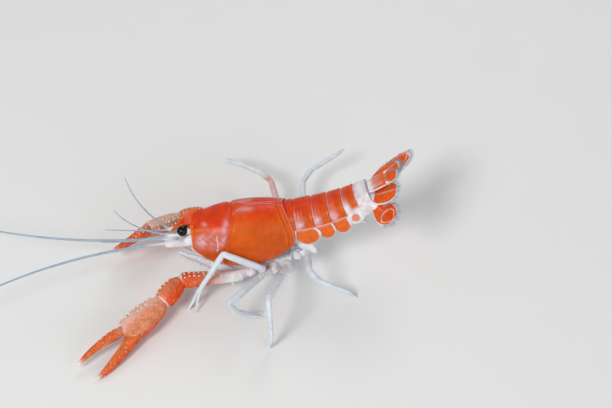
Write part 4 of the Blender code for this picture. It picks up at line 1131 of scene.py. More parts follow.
def make_claw_arm(arm):
    scale, ischium, elbow = arm.scale, arm.ischium, arm.elbow
    hip, out = hip_place(1, arm.sign), arm.sign * RIGHTWARD
    bend = hip * 0.4 + ischium * 0.6
    form = Form()
    end = 1.5 * scale
    root = ((0, 1.7, 1.7, -0.5), (0, 1.95, 1.95, 1.0), (0, 1.85, 1.85, 1.9), (0.3, end, end, 0.9))
    Tube(segment(hip, bend, root, 1.0, out), arm.mesial).skin(form, "cream", 22, 26, (0.3, 0.6))
    second = [
        (hip + out * 1.3, 1.4 * scale, 1.4 * scale),
        (bend, 1.75 * scale, 1.65 * scale),
        (ischium, 2.15 * scale, 1.85 * scale),
    ]
    Tube(second, arm.mesial).skin(form, "cream", 22, 26, (0.3, 0.6))
    merus = Tube(segment(ischium, elbow, CLAW_MERUS, scale), arm.mesial)

    def tint(share, angle):
        warm = mixed("salmon", "claw", 0.85 * soft(share, 0.45, 0.9))
        made = mixed("cream", warm, soft(share, 0.12, 0.62))
        return mixed(made, "cream", 0.8 * soft(share, 0.965, 0.99))

    merus.skin(form, tint, 60, 34, (0.3, 0.7))
    root, _ = merus.at(np.array(0.14), np.array(math.pi))
    add_spine(form, root, out * 0.6 - unit(elbow - ischium) * 0.2 - UP * 0.5, 1.6, 0.4, "cream")
    arm.finish(form, "merus", "arm")
    return merus


def make_claw_wrist(arm):
    carpus = Tube(segment(arm.elbow, arm.wrist, CLAW_CARPUS, arm.scale), arm.mesial)

    def lift(share, angle):
        return -0.28 * hump(np.cos(angle - arm.sign * 1.35), 1.0, 0.03) * window(share, 0.15, 0.85, 0.2)

    def tint(share, angle):
        facing = np.cos(angle - arm.sign * 0.5)
        ends = np.maximum(soft(share, 0.14, 0.04), 0.8 * soft(share, 0.93, 0.98))
        return painted("claw", ("salmon", 0.7 * soft(facing, 0.1, 0.75)), ("cream", 0.8 * ends))

    form = Form()
    carpus.skin(form, tint, 56, 40, (0.4, 0.6), lift)
    arm.finish(form, "carpus", "wrist")
    return carpus


def make_claw_palm(arm):
    """The palm with its fixed finger, whose cutting edge faces the moving finger."""
    scale, knuckle, end, mesial = arm.scale, arm.knuckle, arm.fixed_tip, arm.side

    def palm_tint(share, angle):
        facing = np.cos(angle - arm.sign * 0.5)
        return painted(
            "claw",
            ("salmon", 0.95 * soft(facing, -0.95, 0.1)),
            ("cream", 0.35 * soft(facing, 0.55, 1.0)),
            ("cream", 0.5 * soft(share, 0.06, 0.0)),
        )

    def finger_tint(share, angle):
        facing = np.cos(angle)
        return painted(
            "finger",
            ("claw", 0.9 * soft(facing, 0.0, -0.9)),
            ("salmon", 0.6 * soft(share, 0.3, 0.05) * soft(facing, -0.4, 0.6)),
            ("cream", 0.5 * soft(facing, 0.75, 1.0) * soft(share, 0.15, 0.4)),
            ("tubercle", 0.9 * soft(share, 0.86, 0.98)),
        )

    def lift(share, angle):
        return -0.1 * hump(np.abs(np.sin(angle)), 0.75, 0.12) * window(share, 0.2, 0.95, 0.2)

    form = Form()
    palm = Tube(segment(arm.wrist, knuckle, PALM, scale, mesial * scale), mesial)
    palm.skin(form, palm_tint, 84, 56, (0.4, 0.9))
    root = knuckle - arm.along * 2.6 * scale - mesial * 2.0 * scale
    stations = [(root, 2.6 * scale, 2.4 * scale)]
    stations += segment(knuckle, end, FIXED_FINGER, scale, mesial * scale)
    stations.append((end + mesial * 0.1, FINGER_TIP_RADIUS, FINGER_TIP_RADIUS))
    finger = Tube(stations, mesial)
    finger.skin(form, finger_tint, 70, 32, (0.4, 0.2), lift)
    arm.finish(form, "hand", "palm")
    return palm, finger


def make_claw_dactyl(arm):
    scale, mesial, end = arm.scale, arm.side, arm.moving_tip
    slope = unit(arm.along * 0.85 + mesial * 0.53)
    hinge = arm.knuckle + (mesial * 2.2 + arm.along * 2.6) * scale
    stations = segment(hinge, end, ((0, 1.35, 1.3, -1.6), (0, 1.8, 1.7, -0.4)), scale, slope * scale)
    stations += segment(hinge, end, MOVING_FINGER, scale, mesial * scale)
    stations.append((end, FINGER_TIP_RADIUS, FINGER_TIP_RADIUS))
    finger = Tube(stations, mesial)

    def tint(share, angle):
        facing = np.cos(angle)
        return painted(
            "finger",
            ("claw", 0.45 * soft(facing, 0.2, 0.9)),
            ("cream", 0.55 * soft(facing, -0.7, -1.0) * soft(share, 0.2, 0.4)),
            ("salmon", 0.8 * soft(share, 0.22, 0.04)),
            ("tubercle", 0.9 * soft(share, 0.84, 0.97)),
        )

    form = Form()
    finger.skin(form, tint, 70, 32, (0.5, 0.2))
    arm.finish(form, "finger", "dactyl")
    return finger


def make_eye(word, sign):
    centre = at_body(*EYES[word])
    root = at_body(FACE_U + 0.6, sign * 2.4, 3.9)

    def tint(share, angle):
        return mixed("cream", "margin", soft(np.sin(angle), -0.2, 0.5) * soft(share, 0.25, 0.6))

    stalk, ball = Form(), Form()
    stations = segment(root, centre, STALK, 1.0, unit(centre - root))
    Tube(stations, OUTWARD).skin(stalk, tint, 30, 32, (0.2, 0.05))
    make_piece(stalk, f"eye_{word}_stalk", "skin", f"eyestalk_{word}")
    pole = math.pi / 2 - 0.04
    rise, turn = np.broadcast_arrays(np.linspace(-pole, pole, 40)[:, None], turns(56)[None])
    shape = np.stack([np.cos(rise) * np.cos(turn), np.cos(rise) * np.sin(turn), np.sin(rise)], -1)
    ball.rings(centre + shape * EYE_RADIUS, np.array(linear(*EYE_TONE)))
    make_piece(ball, f"eye_{word}_cornea", "eye", f"eye_{word}")


def bend_points(knots, count):
    """Points along the smooth bend that starts at the first knot and ends at the last."""
    share = np.linspace(0, 1, count)[:, None]
    level = [np.broadcast_to(np.array(knot, float), (count, 3)) for knot in knots]
    while len(level) > 1:
        level = [a * (1 - share) + b * share for a, b in zip(level, level[1:])]
    return level[0]


def add_feeler(form, points, thick, fine):
    """A ringed feeler that tapers, each ring a little wider at its far end."""
    marks = reaches(points)
    rings = max(4, int(marks[-1] / millimetres("ring_pitch")))
    shares = np.arange(rings * 3 + 1) / (rings * 3)
    sawtooth = np.tile((0.9, 1.0, 1.07), rings + 1)[: len(shares)]
    centres = along_run(shares * marks[-1], marks, points)
    along = unit(np.gradient(centres, axis=0))
    side = np.array((0.0, 0.2, 1.0))
    across = unit(side - (along @ side)[:, None] * along)
    over = np.cross(along, across)
    angle = turns(10)[None, :, None]
    spread = across[:, None] * np.cos(angle) + over[:, None] * np.sin(angle)
    radius = (thick + (fine - thick) * shares) * sawtooth
    rings_at = centres[:, None] + spread * radius[:, None, None]
    shade = 1.0 - 0.18 * (sawtooth < 0.95)
    tint = mixed("limb", "feeler", soft(shares, 0.0, 0.12)) * shade[:, None]
    form.rings(rings_at, np.broadcast_to(tint[:, None], rings_at.shape))


def make_antenna(word, sign):
    """The antenna with its base, the antennal scale and the cream plates of the face."""
    root = at_body(FACE_U + 0.8, sign * 3.2, -0.6)
    end = np.array(ANTENNAE[word][0])
    elbow = root * 0.4 + end * 0.6
    base = Form()
    for (start, stop), rows in zip(((root, elbow), (root, elbow), (elbow, end)), PEDUNCLE):
        tube = Tube(segment(start, stop, rows, 1.0, unit(end - root)), RIGHTWARD)
        tube.skin(base, joint_tint("cream", "limb", 0.15), 20, 26, (0.3, 0.5))
    add_scale(base, sign)
    body_tube(CHEEK, sign).skin(base, joint_tint("cream", "lilac", 0.3), 26, 26, (0.3, 0.3))
    body_tube(JAW, sign).skin(base, "cream", 18, 22, (0.3, 0.4))
    make_piece(base, f"antenna_{word}_peduncle", "skin", f"antenna_base_{word}")
    whip = Form()
    add_feeler(whip, bend_points(ANTENNAE[word], 160), 0.56, 0.2)
    make_piece(whip, f"antenna_{word}_flagellum", "feeler", f"antenna_{word}")


def add_scale(form, sign):
    """The antennal scale: a leaf with a stiff outer edge that ends in a spine."""
    table = np.array(SCALE)
    u = np.linspace(table[0, 0], table[-1, 0], 40)
    v, w, half = flow(-table[:, 0], table[:, 1:], -u).T[..., None]
    x = np.linspace(-1, 1, 21)[None]
    side = np.where(x > 0, 0.8, 1.1) * x
    thick = 0.12 + 0.24 * (1 - x * x)
    v, w = sign * (v + half * side * 0.92), w - half * side * 0.38
    u = u[:, None]
    tint = mixed("cream", "margin", 0.7 * hump(x, 0.95, 0.14) + 0 * u)
    upper = w + thick / 2 + 0.16 * hump(x, 0.9, 0.18)
    form.plate(at_body(u, v, upper), at_body(u, v, w - thick / 2), tint)


def make_antennule(word, sign):
    form = Form()
    root = at_body(FACE_U + 0.6, sign * 1.25, 2.3)
    end = at_body(-41.2, sign * 1.9, 3.3)
    for start, stop, radius in ((0.0, 0.45, 1.0), (0.42, 0.72, 0.92), (0.7, 1.0, 0.74)):
        run = segment(root + (end - root) * start, root + (end - root) * stop, ANTENNULE, radius)
        Tube(run, RIGHTWARD).skin(form, joint_tint("cream", "limb", 0.2), 16, 20, (0.3, 0.4))
    for number, knots in enumerate(WHIPS[word]):
        start = root * 0.04 + end * 0.96 + RIGHTWARD * (0.3 - 0.6 * number)
        add_feeler(form, bend_points([start, *knots], 60), 0.36, 0.14)
    make_piece(form, f"antennule_{word}_pair", "feeler", f"antennule_{word}")


def make_maxilliped(word, sign):
    def lift(share, angle):
        return -0.22 * sum(hump(share, joint, 0.02) for joint in (0.42, 0.66, 0.84))

    form = Form()
    body_tube(MAXILLIPED, sign).skin(form, joint_tint("cream", "limb"), 80, 26, (0.4, 0.3), lift)
    make_piece(form, f"maxilliped_{word}_leg", "skin", f"maxilliped_{word}")


def add_node(tree, kind, inputs=None, **settings):
    """A node with its settings made, and each of its inputs linked to a socket or given a value."""
    node = tree.nodes.new(kind)
    for name, value in settings.items():
        setattr(node, name, value)
    for name, value in (inputs or {}).items():
        if isinstance(value, bpy.types.NodeSocket):
            tree.links.new(value, node.inputs[name])
        else:
            node.inputs[name].default_value = value
    return node


def new_group(kind, name, inputs, outputs):
    """A node group with its sockets, the values given to it and their sockets' identifiers."""
    group = bpy.data.node_groups.new(name, kind)
    names = {}
    for way, sockets in (("INPUT", inputs), ("OUTPUT", outputs)):
        for label, socket in sockets.items():
            made = group.interface.new_socket(label, in_out=way, socket_type=f"NodeSocket{socket}")
            names[label] = made.identifier
    return group, add_node(group, "NodeGroupInput").outputs, names


def scatter_tree(name, shape):
    """A tree that stands one small shape on each root, turned along aim and scaled by size."""
    inputs = {"Roots": "Geometry", "Unevenness": "Float", "Seed": "Int", "Finish": "Material"}
    tree, given, names = new_group("GeometryNodeTree", name, inputs, {"Shapes": "Geometry"})
    if shape == "bristle":
        sizes = {"Vertices": 3, "Side Segments": 2, "Radius Top": 0.12, "Radius Bottom": 1.0}
        mesh = add_node(tree, "GeometryNodeMeshCone", {**sizes, "Depth": 1.0})
    else:
        mesh = add_node(tree, "GeometryNodeMeshUVSphere", {"Segments": 9, "Rings": 6})
    aim, size = (
        add_node(tree, "GeometryNodeInputNamedAttribute", {"Name": label}, data_type="FLOAT_VECTOR")
        for label in ("aim", "size")
    )
    aimed = {"Vector": aim.outputs["Attribute"]}
    turn = add_node(tree, "FunctionNodeAlignRotationToVector", aimed, axis="Z")
    least = add_node(tree, "ShaderNodeMath", {0: 1.0, 1: given["Unevenness"]}, operation="SUBTRACT")
    drawn = {"Min": least.outputs[0], "Seed": given["Seed"]}
    chance = add_node(tree, "FunctionNodeRandomValue", drawn, data_type="FLOAT")
    factors = {0: size.outputs["Attribute"], "Scale": chance.outputs["Value"]}
    scaled = add_node(tree, "ShaderNodeVectorMath", factors, operation="SCALE")
    placed = {
        "Points": given["Roots"],
        "Instance": mesh.outputs["Mesh"],
        "Rotation": turn.outputs["Rotation"],
        "Scale": scaled.outputs["Vector"],
    }
    made = add_node(tree, "GeometryNodeInstanceOnPoints", placed).outputs["Instances"]
    for kind in ("RealizeInstances", "SetShadeSmooth"):
        made = add_node(tree, f"GeometryNode{kind}", {"Geometry": made}).outputs["Geometry"]
    made = add_node(tree, "GeometryNodeSetMaterial", {"Geometry": made, "Material": given["Finish"]})
    add_node(tree, "NodeGroupOutput", {"Shapes": made.outputs["Geometry"]})
    return tree, names


def scatter(name, shape, material, places, aims, sizes, tints):
    """Runs the scatter tree on the roots, keeps the mesh that it makes and lays out OFBake."""
    places, aims, sizes = (np.concatenate(rows) for rows in (places, aims, sizes))
    if shape not in groups:
        groups[shape] = scatter_tree(f"{shape}_scatter", shape)
    tree, sockets = groups[shape]
    count = len(places)
    flat = (places - places.min(0)) / np.maximum(np.ptp(places, axis=0), 1e-6)
    root = np.stack([flat[:, 0], 0.5 * flat[:, 1] + 0.5 * flat[:, 2], np.zeros(count)], axis=1)
    tint = np.pad(np.broadcast_to(tints, (count, 3)), ((0, 0), (0, 1)), constant_values=1.0)
    cloud = bpy.data.meshes.new(name)
    cloud.from_pydata(((places - FOOTPRINT_CENTRE) * MM).tolist(), [], [])
    for label, values in (("aim", unit(aims)), ("size", sizes * MM), ("tint", tint), ("root", root)):
        kind, field = ("FLOAT_COLOR", "color") if label == "tint" else ("FLOAT_VECTOR", "vector")
        cloud.attributes.new(label, kind, "POINT").data.foreach_set(field, values.ravel())
    made = bpy.data.objects.new(name, cloud)
    bpy.context.scene.collection.objects.link(made)
    modifier = made.modifiers.new("scatter", "NODES")
    modifier.node_group = tree
    modifier[sockets["Unevenness"]] = 0.35
    modifier[sockets["Seed"]] = bpy.context.scene.crayfish_sizes.seed
    modifier[sockets["Finish"]] = materials[material]
    bpy.context.view_layer.update()
    graph = bpy.context.evaluated_depsgraph_get()
    mesh = bpy.data.meshes.new_from_object(made.evaluated_get(graph))
    made.modifiers.clear()
    made.data = mesh
    lay_out_tufts(mesh)
    bpy.context.scene.collection.objects.unlink(made)
    link(made, [])


def lay_out_tufts(mesh):
    """Gives each shape a small patch of the OFBake map at its root's place."""
    root = np.empty(len(mesh.vertices) * 3, np.float32)
    mesh.attributes["root"].data.foreach_get("vector", root)
    root = root.reshape(-1, 3)[:, :2]
    corner = np.empty(len(mesh.loops), np.int32)
    mesh.loops.foreach_get("vertex_index", corner)
    step = np.stack([corner % 3, (corner // 3) % 3], axis=1) * 0.0015
    layer = mesh.uv_layers.new(name="OFBake")
    layer.data.foreach_set("uv", (root[corner] * 0.99 + step).astype(np.float32).ravel())


def make_fan_fringe():
    """The fringe along the free edges of the tail fan."""
    chance = chances(0)
    thick = millimetres("bristle")
    places, aims, sizes = [], [], []
    for name in FAN_PLATES:
        base, axes, _, _, _, grid = fan_plate(name)
        middle = base + np.stack(grid, -1) @ axes
        start = int((0.66 if name == "telson" else 0.5) * (FAN_ROWS - 1))
        covered = int(0.85 * (FAN_ROWS - 1))
        first = covered if "outer_left" in name else start
        last = covered if "outer_right" in name else start
        edge = np.concatenate([middle[first:, 0], middle[-1], middle[last:, -1][::-1]])
        marks = reaches(edge)
        count = int(marks[-1] * FRINGE_DENSITY)
        at = np.sort(chance.uniform(0, marks[-1], count))
        root = along_run(at, marks, edge)
        aim = unit(root - middle[FAN_HUB]) + unit(axes[0]) * 0.7 + chance.normal(0, 0.1, (count, 3))
        long = millimetres("fringe") * (0.75 + 0.35 * window(at / marks[-1], 0.0, 1.0, 0.3))
        places.append(root - unit(aim) * 0.25)
        aims.append(aim)
        sizes.append(np.stack([np.full(count, thick), np.full(count, thick), long], axis=1))
    scatter("fan_fringe", "bristle", "setae", places, aims, sizes, colour("setae"))


def make_hair():
    """Hair on the third maxillipeds, the hips, the last leg joints and the swimmerets."""
    chance = chances(1)
    thick = millimetres("bristle") * 0.8
    places, aims, sizes = [], [], []
    all_round = (0, 2 * math.pi)

    def grow(tube, count, low, high, angles, reach, lean):
        share = chance.uniform(low, high, count)
        angle = chance.uniform(*angles, count)
        root, out = tube.at(share, angle)
        along = tube.frame(share)[1]
        places.append(root - out * 0.1)
        aims.append(unit(out + along * lean + chance.normal(0, 0.16, (count, 3))))
        long = chance.uniform(0.6, 1.0, count) * reach
        sizes.append(np.stack([np.full(count, thick), np.full(count, thick), long], axis=1))

    for word, sign in SIDES:
        tube = body_tube(MAXILLIPED, sign)
        grow(tube, 520, 0.1, 0.97, (math.pi * 0.5, math.pi * 1.5), 1.5, 0.5)
        grow(tube, 220, 0.1, 0.97, (-math.pi * 0.5, math.pi * 0.5), 0.9, 0.6)
        for number in LEG_LENGTHS:
            hip, ischium, _, wrist, finger, tip = leg_joints(word, sign, number)
            radius = LEG_RADII[3]
            middle = (finger, radius * 0.85, radius * 0.75)
            run = [(wrist, radius, radius * 0.9), middle, (tip, 0.4, 0.4)]
            grow(Tube(run, UP), 170, 0.1, 0.9, all_round, 0.55, 1.0)
            coxa = Tube([(hip, 1.5, 1.5), (hip * 0.5 + ischium * 0.5, 1.35, 1.35)], UP)
            grow(coxa, 90, 0.0, 1.0, all_round, 0.8, 0.3)
        for number in range(2, 6):
            middle = somite_middle(number)
            root = at_tail(middle - 1.2, sign * 3.7, -4.4)
            end = at_tail(middle + 1.5, sign * 4.4, -7.4)
            blade = Tube([(root, 0.6, 0.3), (end, 0.5, 0.3)], (1.0, 0, 0))
            grow(blade, 140, 0.1, 1.0, all_round, 1.1, 0.9)
        flap = ((5.6, 4.4, -5.6, 0.9, 0.5), (8.6, 4.9, -8.8, 0.7, 0.4))
        grow(body_tube(flap, sign, (1.0, 0, 0)), 300, 0.0, 1.0, all_round, 1.4, 0.9)
    pale = colour("setae") * 0.35 + colour("limb") * 0.65
    scatter("body_hair", "bristle", "setae", places, aims, sizes, pale)


def make_tubercles(tubes):
    """Rows of pale tubercles on the claws, finer grains over the palms and teeth on the fingers."""
    chance = chances(2)
    radius = millimetres("tubercle")
    places, aims, sizes, tints = [], [], [], []

    def stud(tube, share, angle, wide, tall, tone):
        share = np.asarray(share, float)
        angle = np.broadcast_to(np.asarray(angle, float), share.shape)
        root, out = tube.at(share, angle)
        along = tube.frame(share)[1]
        wide, tall = (np.broadcast_to(size, root.shape[:1]) for size in (wide, tall))
        places.append(root - out * (wide * 0.25)[:, None])
        aims.append(unit(out + along * 0.35))
        sizes.append(np.stack([wide, wide, tall], axis=1))
        tints.append(np.broadcast_to(tone, root.shape))

    def row(tube, low, high, turn, count, jitter, sway, size, tall):
        """Tubercles in a line along a tube, each a little out of place."""
        share = np.linspace(low, high, count) + chance.normal(0, jitter, count)
        angle = sign * turn + chance.normal(0, sway, count)
        stud(tube, share, angle, radius * size * scale, radius * size * tall * scale, white)

    white, cream = colour("tubercle"), colour("cream")
    for word, sign in SIDES:
        merus, carpus, palm, fixed, moving = tubes[word]
        scale = ARM_SCALES[word]
        for turn, count, size in ((0.0, 9, 1.25), (0.42, 8, 0.95), (-0.42, 8, 0.95), (0.85, 8, 0.7)):
            row(palm, 0.12, 0.9, turn, count, 0.012, 0.04, size, 1.9)
        share = chance.uniform(0.1, 0.97, 420)
        angle = sign * 0.6 + chance.normal(0, 0.95, 420)
        grain = chance.uniform(0.13, 0.25, 420)
        tone = mixed("salmon", "tubercle", chance.uniform(0.1, 0.6, 420))
        stud(palm, share, angle, grain, grain * 0.9, tone)
        for turn, count, size in ((0.0, 5, 1.2), (0.5, 5, 0.95), (-0.5, 4, 0.8)):
            row(carpus, 0.22, 0.86, turn, count, 0.015, 0.05, size, 2.1)
        stud(carpus, [0.8], sign * 0.15, 0.55 * scale, 1.9 * scale, white)
        share = chance.uniform(0.15, 0.9, 70)
        angle = sign * 0.8 + chance.normal(0, 0.8, 70)
        stud(carpus, share, angle, 0.2, 0.2, colour("salmon"))
        _, _, across, over, _ = merus.frame(np.array(0.7))
        upward = math.atan2(over[2], across[2])
        for turn in (0.35, -0.25):
            angle = upward + turn + chance.normal(0, 0.06, 7)
            stud(merus, np.linspace(0.45, 0.93, 7), angle, 0.36 * scale, 0.75 * scale, white)
        for turn in (0.45, -0.45):
            angle = upward + math.pi + turn
            stud(merus, np.linspace(0.3, 0.94, 8), angle, 0.36 * scale, 0.85 * scale, white)
        on_fixed = (fixed, 0.24, 0.0, (0.2, 0.42, 0.12))
        on_moving = (moving, 0.2, math.pi, (0.22, 0.34, 0.1))
        for finger, first, angle, swell in (on_fixed, on_moving):
            teeth = np.linspace(first, 0.92, 15)
            size = 0.2 + swell[0] * hump(teeth, *swell[1:])
            stud(finger, teeth, angle, size * scale, size * 1.3 * scale, cream)
        stud(moving, np.linspace(0.1, 0.45, 5), 0.0, 0.34 * scale, 0.55 * scale, white)
        stud(moving, np.linspace(0.08, 0.4, 4), sign * 0.6, 0.3 * scale, 0.45 * scale, white)
    tints = np.concatenate(tints)
    scatter("claw_tubercles", "knob", "tubercle", places, aims, sizes, tints)


def noise_at(tree, place, scale, detail):
    """The level of a noise texture read at a place."""
    given = {"Vector": place, "Scale": scale, "Detail": detail}
    return add_node(tree, "ShaderNodeTexNoise", given).outputs["Fac"]


def ranged(tree, value, low, high, to_low, to_high):
    given = {"Value": value, "From Min": low, "From Max": high, "To Min": to_low, "To Max": to_high}
    return add_node(tree, "ShaderNodeMapRange", given).outputs["Result"]


def shell_group(word, output, kind, **more):
    """One of the shared shader groups, with its place and own inputs."""
    inputs = {**more, "Place": "Vector", **{label: "Float" for label in GROUP_INPUTS[word]}}
    groups[word], given, _ = new_group("ShaderNodeTree", f"shell_{word}", inputs, {output: kind})
    return groups[word], given


def make_shell_colour():
    """Clouds the painted tint in brightness and sprinkles it with fine pale freckles."""
    group, given = shell_group("colour", "Colour", "Color", Tint="Color")
    cloud = noise_at(group, given["Place"], given["Cloud Scale"], 4.0)
    level = ranged(group, cloud, 0.3, 0.7, given["Dark"], given["Light"])
    shaded = add_node(group, "ShaderNodeVectorMath", operation="SCALE")
    group.links.new(given["Tint"], shaded.inputs[0])
    group.links.new(level, shaded.inputs["Scale"])
    fleck = noise_at(group, given["Place"], given["Freckle Scale"], 1.0)
    mask = ranged(group, fleck, 0.58, 0.72, 0.0, 1.0)
    factors = {0: mask, 1: given["Freckle Strength"]}
    strength = add_node(group, "ShaderNodeMath", factors, operation="MULTIPLY")
    blend = {"Factor": strength.outputs[0], "A": shaded.outputs["Vector"], "B": (0.9, 0.72, 0.6, 1.0)}
    made = add_node(group, "ShaderNodeMix", blend, data_type="RGBA")
    add_node(group, "NodeGroupOutput", {"Colour": made.outputs["Result"]})


def make_shell_relief():
    """The height of fine pits and grain in a shell."""
    group, given = shell_group("relief", "Height", "Float")
    spots = {"Vector": given["Place"], "Scale": given["Pit Scale"]}
    pits = add_node(group, "ShaderNodeTexVoronoi", spots)
    hollow = ranged(group, pits.outputs["Distance"], 0.0, 0.32, given["Pit Depth"], 0.0)
    grain = noise_at(group, given["Place"], given["Grain Scale"], 3.0)
    total = add_node(group, "ShaderNodeMath", {0: grain, 1: hollow}, operation="SUBTRACT")
    add_node(group, "NodeGroupOutput", {"Height": total.outputs[0]})


def make_shell_gloss():
    """Roughness that varies a little over a damp shell."""
    group, given = shell_group("gloss", "Roughness", "Float")
    damp = noise_at(group, given["Place"], 420.0, 3.0)
    level = ranged(group, damp, 0.35, 0.65, given["Smooth"], given["Rough"])
    add_node(group, "NodeGroupOutput", {"Roughness": level})


def new_material(name):
    """A material, its node tree, its shader and the object's coordinates in it."""
    material = bpy.data.materials.new(name)
    material.use_nodes = True
    tree = material.node_tree
    place = add_node(tree, "ShaderNodeTexCoord").outputs["Object"]
    return material, tree, tree.nodes["Principled BSDF"], place


def make_material(name):
    """A damp shell finish: painted tint, clouds, freckles, pits and a clear coat."""
    *values, (strength, distance), coat = FINISHES[name]
    materials[name], tree, shader, place = new_material(f"{name}_finish")
    made = {}
    for (word, labels), row in zip(GROUP_INPUTS.items(), values):
        given = {"Place": place, **dict(zip(labels, row))}
        made[word] = add_node(tree, "ShaderNodeGroup", given, node_tree=groups[word])
    tint = add_node(tree, "ShaderNodeAttribute", attribute_name="tint")
    tree.links.new(tint.outputs["Color"], made["colour"].inputs["Tint"])
    height = {"Height": made["relief"].outputs["Height"], "Strength": strength, "Distance": distance}
    bump = add_node(tree, "ShaderNodeBump", height)
    tree.links.new(made["colour"].outputs["Colour"], shader.inputs["Base Color"])
    tree.links.new(made["gloss"].outputs["Roughness"], shader.inputs["Roughness"])
    tree.links.new(bump.outputs["Normal"], shader.inputs["Normal"])
    shader.inputs["Coat Weight"].default_value = coat
    shader.inputs["Coat Roughness"].default_value = 0.12
    shader.inputs["IOR"].default_value = 1.5
    shader.inputs["Specular IOR Level"].default_value = 0.18


def make_floor():
    """A plain pale floor, with a faint grain, that reaches past every view."""
    mesh = bpy.data.meshes.new("floor")
    corners = ((-1, -1), (1, -1), (1, 1), (-1, 1))
    mesh.from_pydata([(x * FLOOR_REACH, y * FLOOR_REACH, 0) for x, y in corners], [], [(0, 1, 2, 3)])
    material, tree, shader, place = new_material("floor_finish")
    shader.inputs["Base Color"].default_value = (0.82, 0.82, 0.81, 1.0)
    level = ranged(tree, noise_at(tree, place, 60.0, 3.0), 0.3, 0.7, 0.55, 0.65)
    tree.links.new(level, shader.inputs["Roughness"])
    mesh.materials.append(material)
    floor = bpy.data.objects.new("floor", mesh)
    bpy.context.scene.collection.objects.link(floor)


def make_light(name, power):
    place, width, share, tone = LIGHTS[name]
    lamp = bpy.data.lights.new(name, "AREA")
    lamp.shape, lamp.size, lamp.energy, lamp.color = "DISK", width, power * share, tone
    made = bpy.data.objects.new(name, lamp)
    made.location = place
    made.rotation_euler = (Vector(LIGHT_AIM) - Vector(place)).to_track_quat("-Z", "Y").to_euler()
    bpy.context.scene.collection.objects.link(made)


def make_world():
    world = bpy.data.worlds.new("studio")
    world.use_nodes = True
    background = world.node_tree.nodes["Background"]
    background.inputs["Color"].default_value = (0.9, 0.92, 0.95, 1.0)
    background.inputs["Strength"].default_value = 0.38
    bpy.context.scene.world = world


def make_camera(elevation, distance):
    """The photograph's view: down on the left side, with the animal's head to the left."""
    lens = bpy.data.cameras.new("camera")
    lens.lens, lens.sensor_width = 100, 36
    lens.clip_start, lens.clip_end = 0.01, 20
    camera = bpy.data.objects.new("camera", lens)
    back = Vector((0, -math.cos(elevation), math.sin(elevation)))
    camera.location = Vector(CAMERA_AIM) + back * distance
    camera.rotation_euler = Euler((math.pi / 2 - elevation, 0, 0))
    bpy.context.scene.collection.objects.link(camera)
    bpy.context.scene.camera = camera


class CRAYFISH_OT_finishes(bpy.types.Operator):
    """Makes the shared shader groups and the finishes of shell, skin, hair and eyes"""

    bl_idname = "crayfish.finishes"
    bl_label = "Finishes"

    def execute(self, context):
        make_shell_colour()
        make_shell_relief()
        make_shell_gloss()
        for name in FINISHES:
            make_material(name)
        return {"FINISHED"}


class CRAYFISH_OT_shield(bpy.types.Operator):
    """Makes the head and thorax plates of the shield, and the sternum under them"""

    bl_idname = "crayfish.shield"
    bl_label = "Shield"

    def execute(self, context):
        make_head()
        make_thorax()
        make_sternum()
        return {"FINISHED"}


class CRAYFISH_OT_abdomen(bpy.types.Operator):
    """Makes the six somites of the abdomen with their swimmerets"""

    bl_idname = "crayfish.abdomen"
    bl_label = "Abdomen"

    def execute(self, context):
        for number in range(1, 7):
            make_somite(number)
        return {"FINISHED"}


class CRAYFISH_OT_tail_fan(bpy.types.Operator):
    """Makes the telson and the four uropod plates with their fringe"""

    bl_idname = "crayfish.tail_fan"
    bl_label = "Tail fan"

    def execute(self, context):
        for name in FAN_PLATES:
            make_fan_plate(name)
        make_fan_fringe()
        return {"FINISHED"}


class CRAYFISH_OT_legs(bpy.types.Operator):
    """Makes the eight walking legs"""

    bl_idname = "crayfish.legs"
    bl_label = "Walking legs"

    def execute(self, context):
        for word, sign in SIDES:
            for number in LEG_LENGTHS:
                make_leg(word, sign, number)
        return {"FINISHED"}


class CRAYFISH_OT_claws(bpy.types.Operator):
    """Makes both chelipeds with their tubercles and teeth"""

    bl_idname = "crayfish.claws"
    bl_label = "Claws"

    def execute(self, context):
        tubes = {}
        for word, sign in SIDES:
            arm = Arm(word, sign)
            merus, carpus = make_claw_arm(arm), make_claw_wrist(arm)
            tubes[word] = (merus, carpus, *make_claw_palm(arm), make_claw_dactyl(arm))
        make_tubercles(tubes)
        return {"FINISHED"}


class CRAYFISH_OT_face(bpy.types.Operator):
    """Makes the eyes, feelers and mouthparts"""

    bl_idname = "crayfish.face"
    bl_label = "Face"

    def execute(self, context):
        for makers in ((make_eye,), (make_antenna, make_antennule), (make_maxilliped,)):
            for word, sign in SIDES:
                for make in makers:
                    make(word, sign)
        return {"FINISHED"}


class CRAYFISH_OT_hair(bpy.types.Operator):
    """Makes the hair of the mouthparts, hips, feet and swimmerets"""

    bl_idname = "crayfish.hair"
    bl_label = "Hair"

    def execute(self, context):
        make_hair()
        return {"FINISHED"}


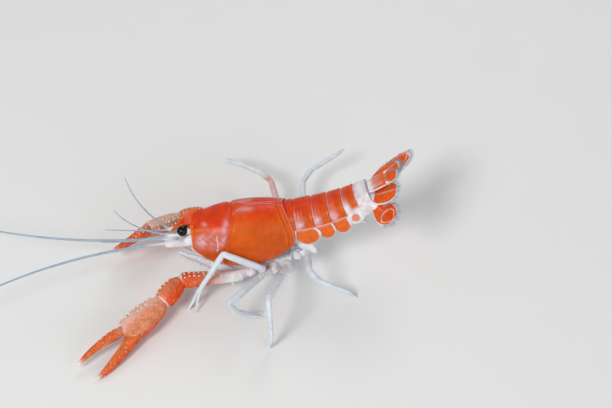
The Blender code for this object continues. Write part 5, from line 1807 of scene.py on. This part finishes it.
class CRAYFISH_OT_stage(bpy.types.Operator):
    """Makes the pale floor, the soft studio light and the camera"""

    bl_idname = "crayfish.stage"
    bl_label = "Stage"

    def execute(self, context):
        sizes = context.scene.crayfish_sizes
        make_floor()
        for name in LIGHTS:
            make_light(name, sizes.key_power)
        make_world()
        context.scene.view_settings.view_transform = "Standard"
        make_camera(sizes.elevation, sizes.distance)
        return {"FINISHED"}


STEPS = (
    CRAYFISH_OT_finishes,
    CRAYFISH_OT_shield,
    CRAYFISH_OT_abdomen,
    CRAYFISH_OT_tail_fan,
    CRAYFISH_OT_legs,
    CRAYFISH_OT_claws,
    CRAYFISH_OT_face,
    CRAYFISH_OT_hair,
    CRAYFISH_OT_stage,
)


class CRAYFISH_PT_panel(bpy.types.Panel):
    """Lists the steps that dress the animal, with its colours and sizes"""

    bl_idname = "CRAYFISH_PT_panel"
    bl_label = "Crayfish"
    bl_space_type = "VIEW_3D"
    bl_region_type = "UI"
    bl_category = "Crayfish"

    def draw(self, context):
        column = self.layout.column()
        for step in STEPS:
            column.operator(step.bl_idname)
        for group in (context.scene.crayfish_colours, context.scene.crayfish_sizes):
            for name in group.__annotations__:
                column.prop(group, name)


CLASSES = (CrayfishColours, CrayfishSizes, *STEPS, CRAYFISH_PT_panel)


def register():
    for kind in CLASSES:
        bpy.utils.register_class(kind)
    bpy.types.Scene.crayfish_colours = bpy.props.PointerProperty(type=CrayfishColours)
    bpy.types.Scene.crayfish_sizes = bpy.props.PointerProperty(type=CrayfishSizes)


def unregister():
    del bpy.types.Scene.crayfish_colours
    del bpy.types.Scene.crayfish_sizes
    for kind in reversed(CLASSES):
        bpy.utils.unregister_class(kind)


def main():
    register()
    bpy.ops.crayfish.finishes()
    bpy.ops.crayfish.shield()
    bpy.ops.crayfish.abdomen()
    bpy.ops.crayfish.tail_fan()
    bpy.ops.crayfish.legs()
    bpy.ops.crayfish.claws()
    bpy.ops.crayfish.face()
    bpy.ops.crayfish.hair()
    bpy.ops.crayfish.stage()


if __name__ == "__main__":
    main()
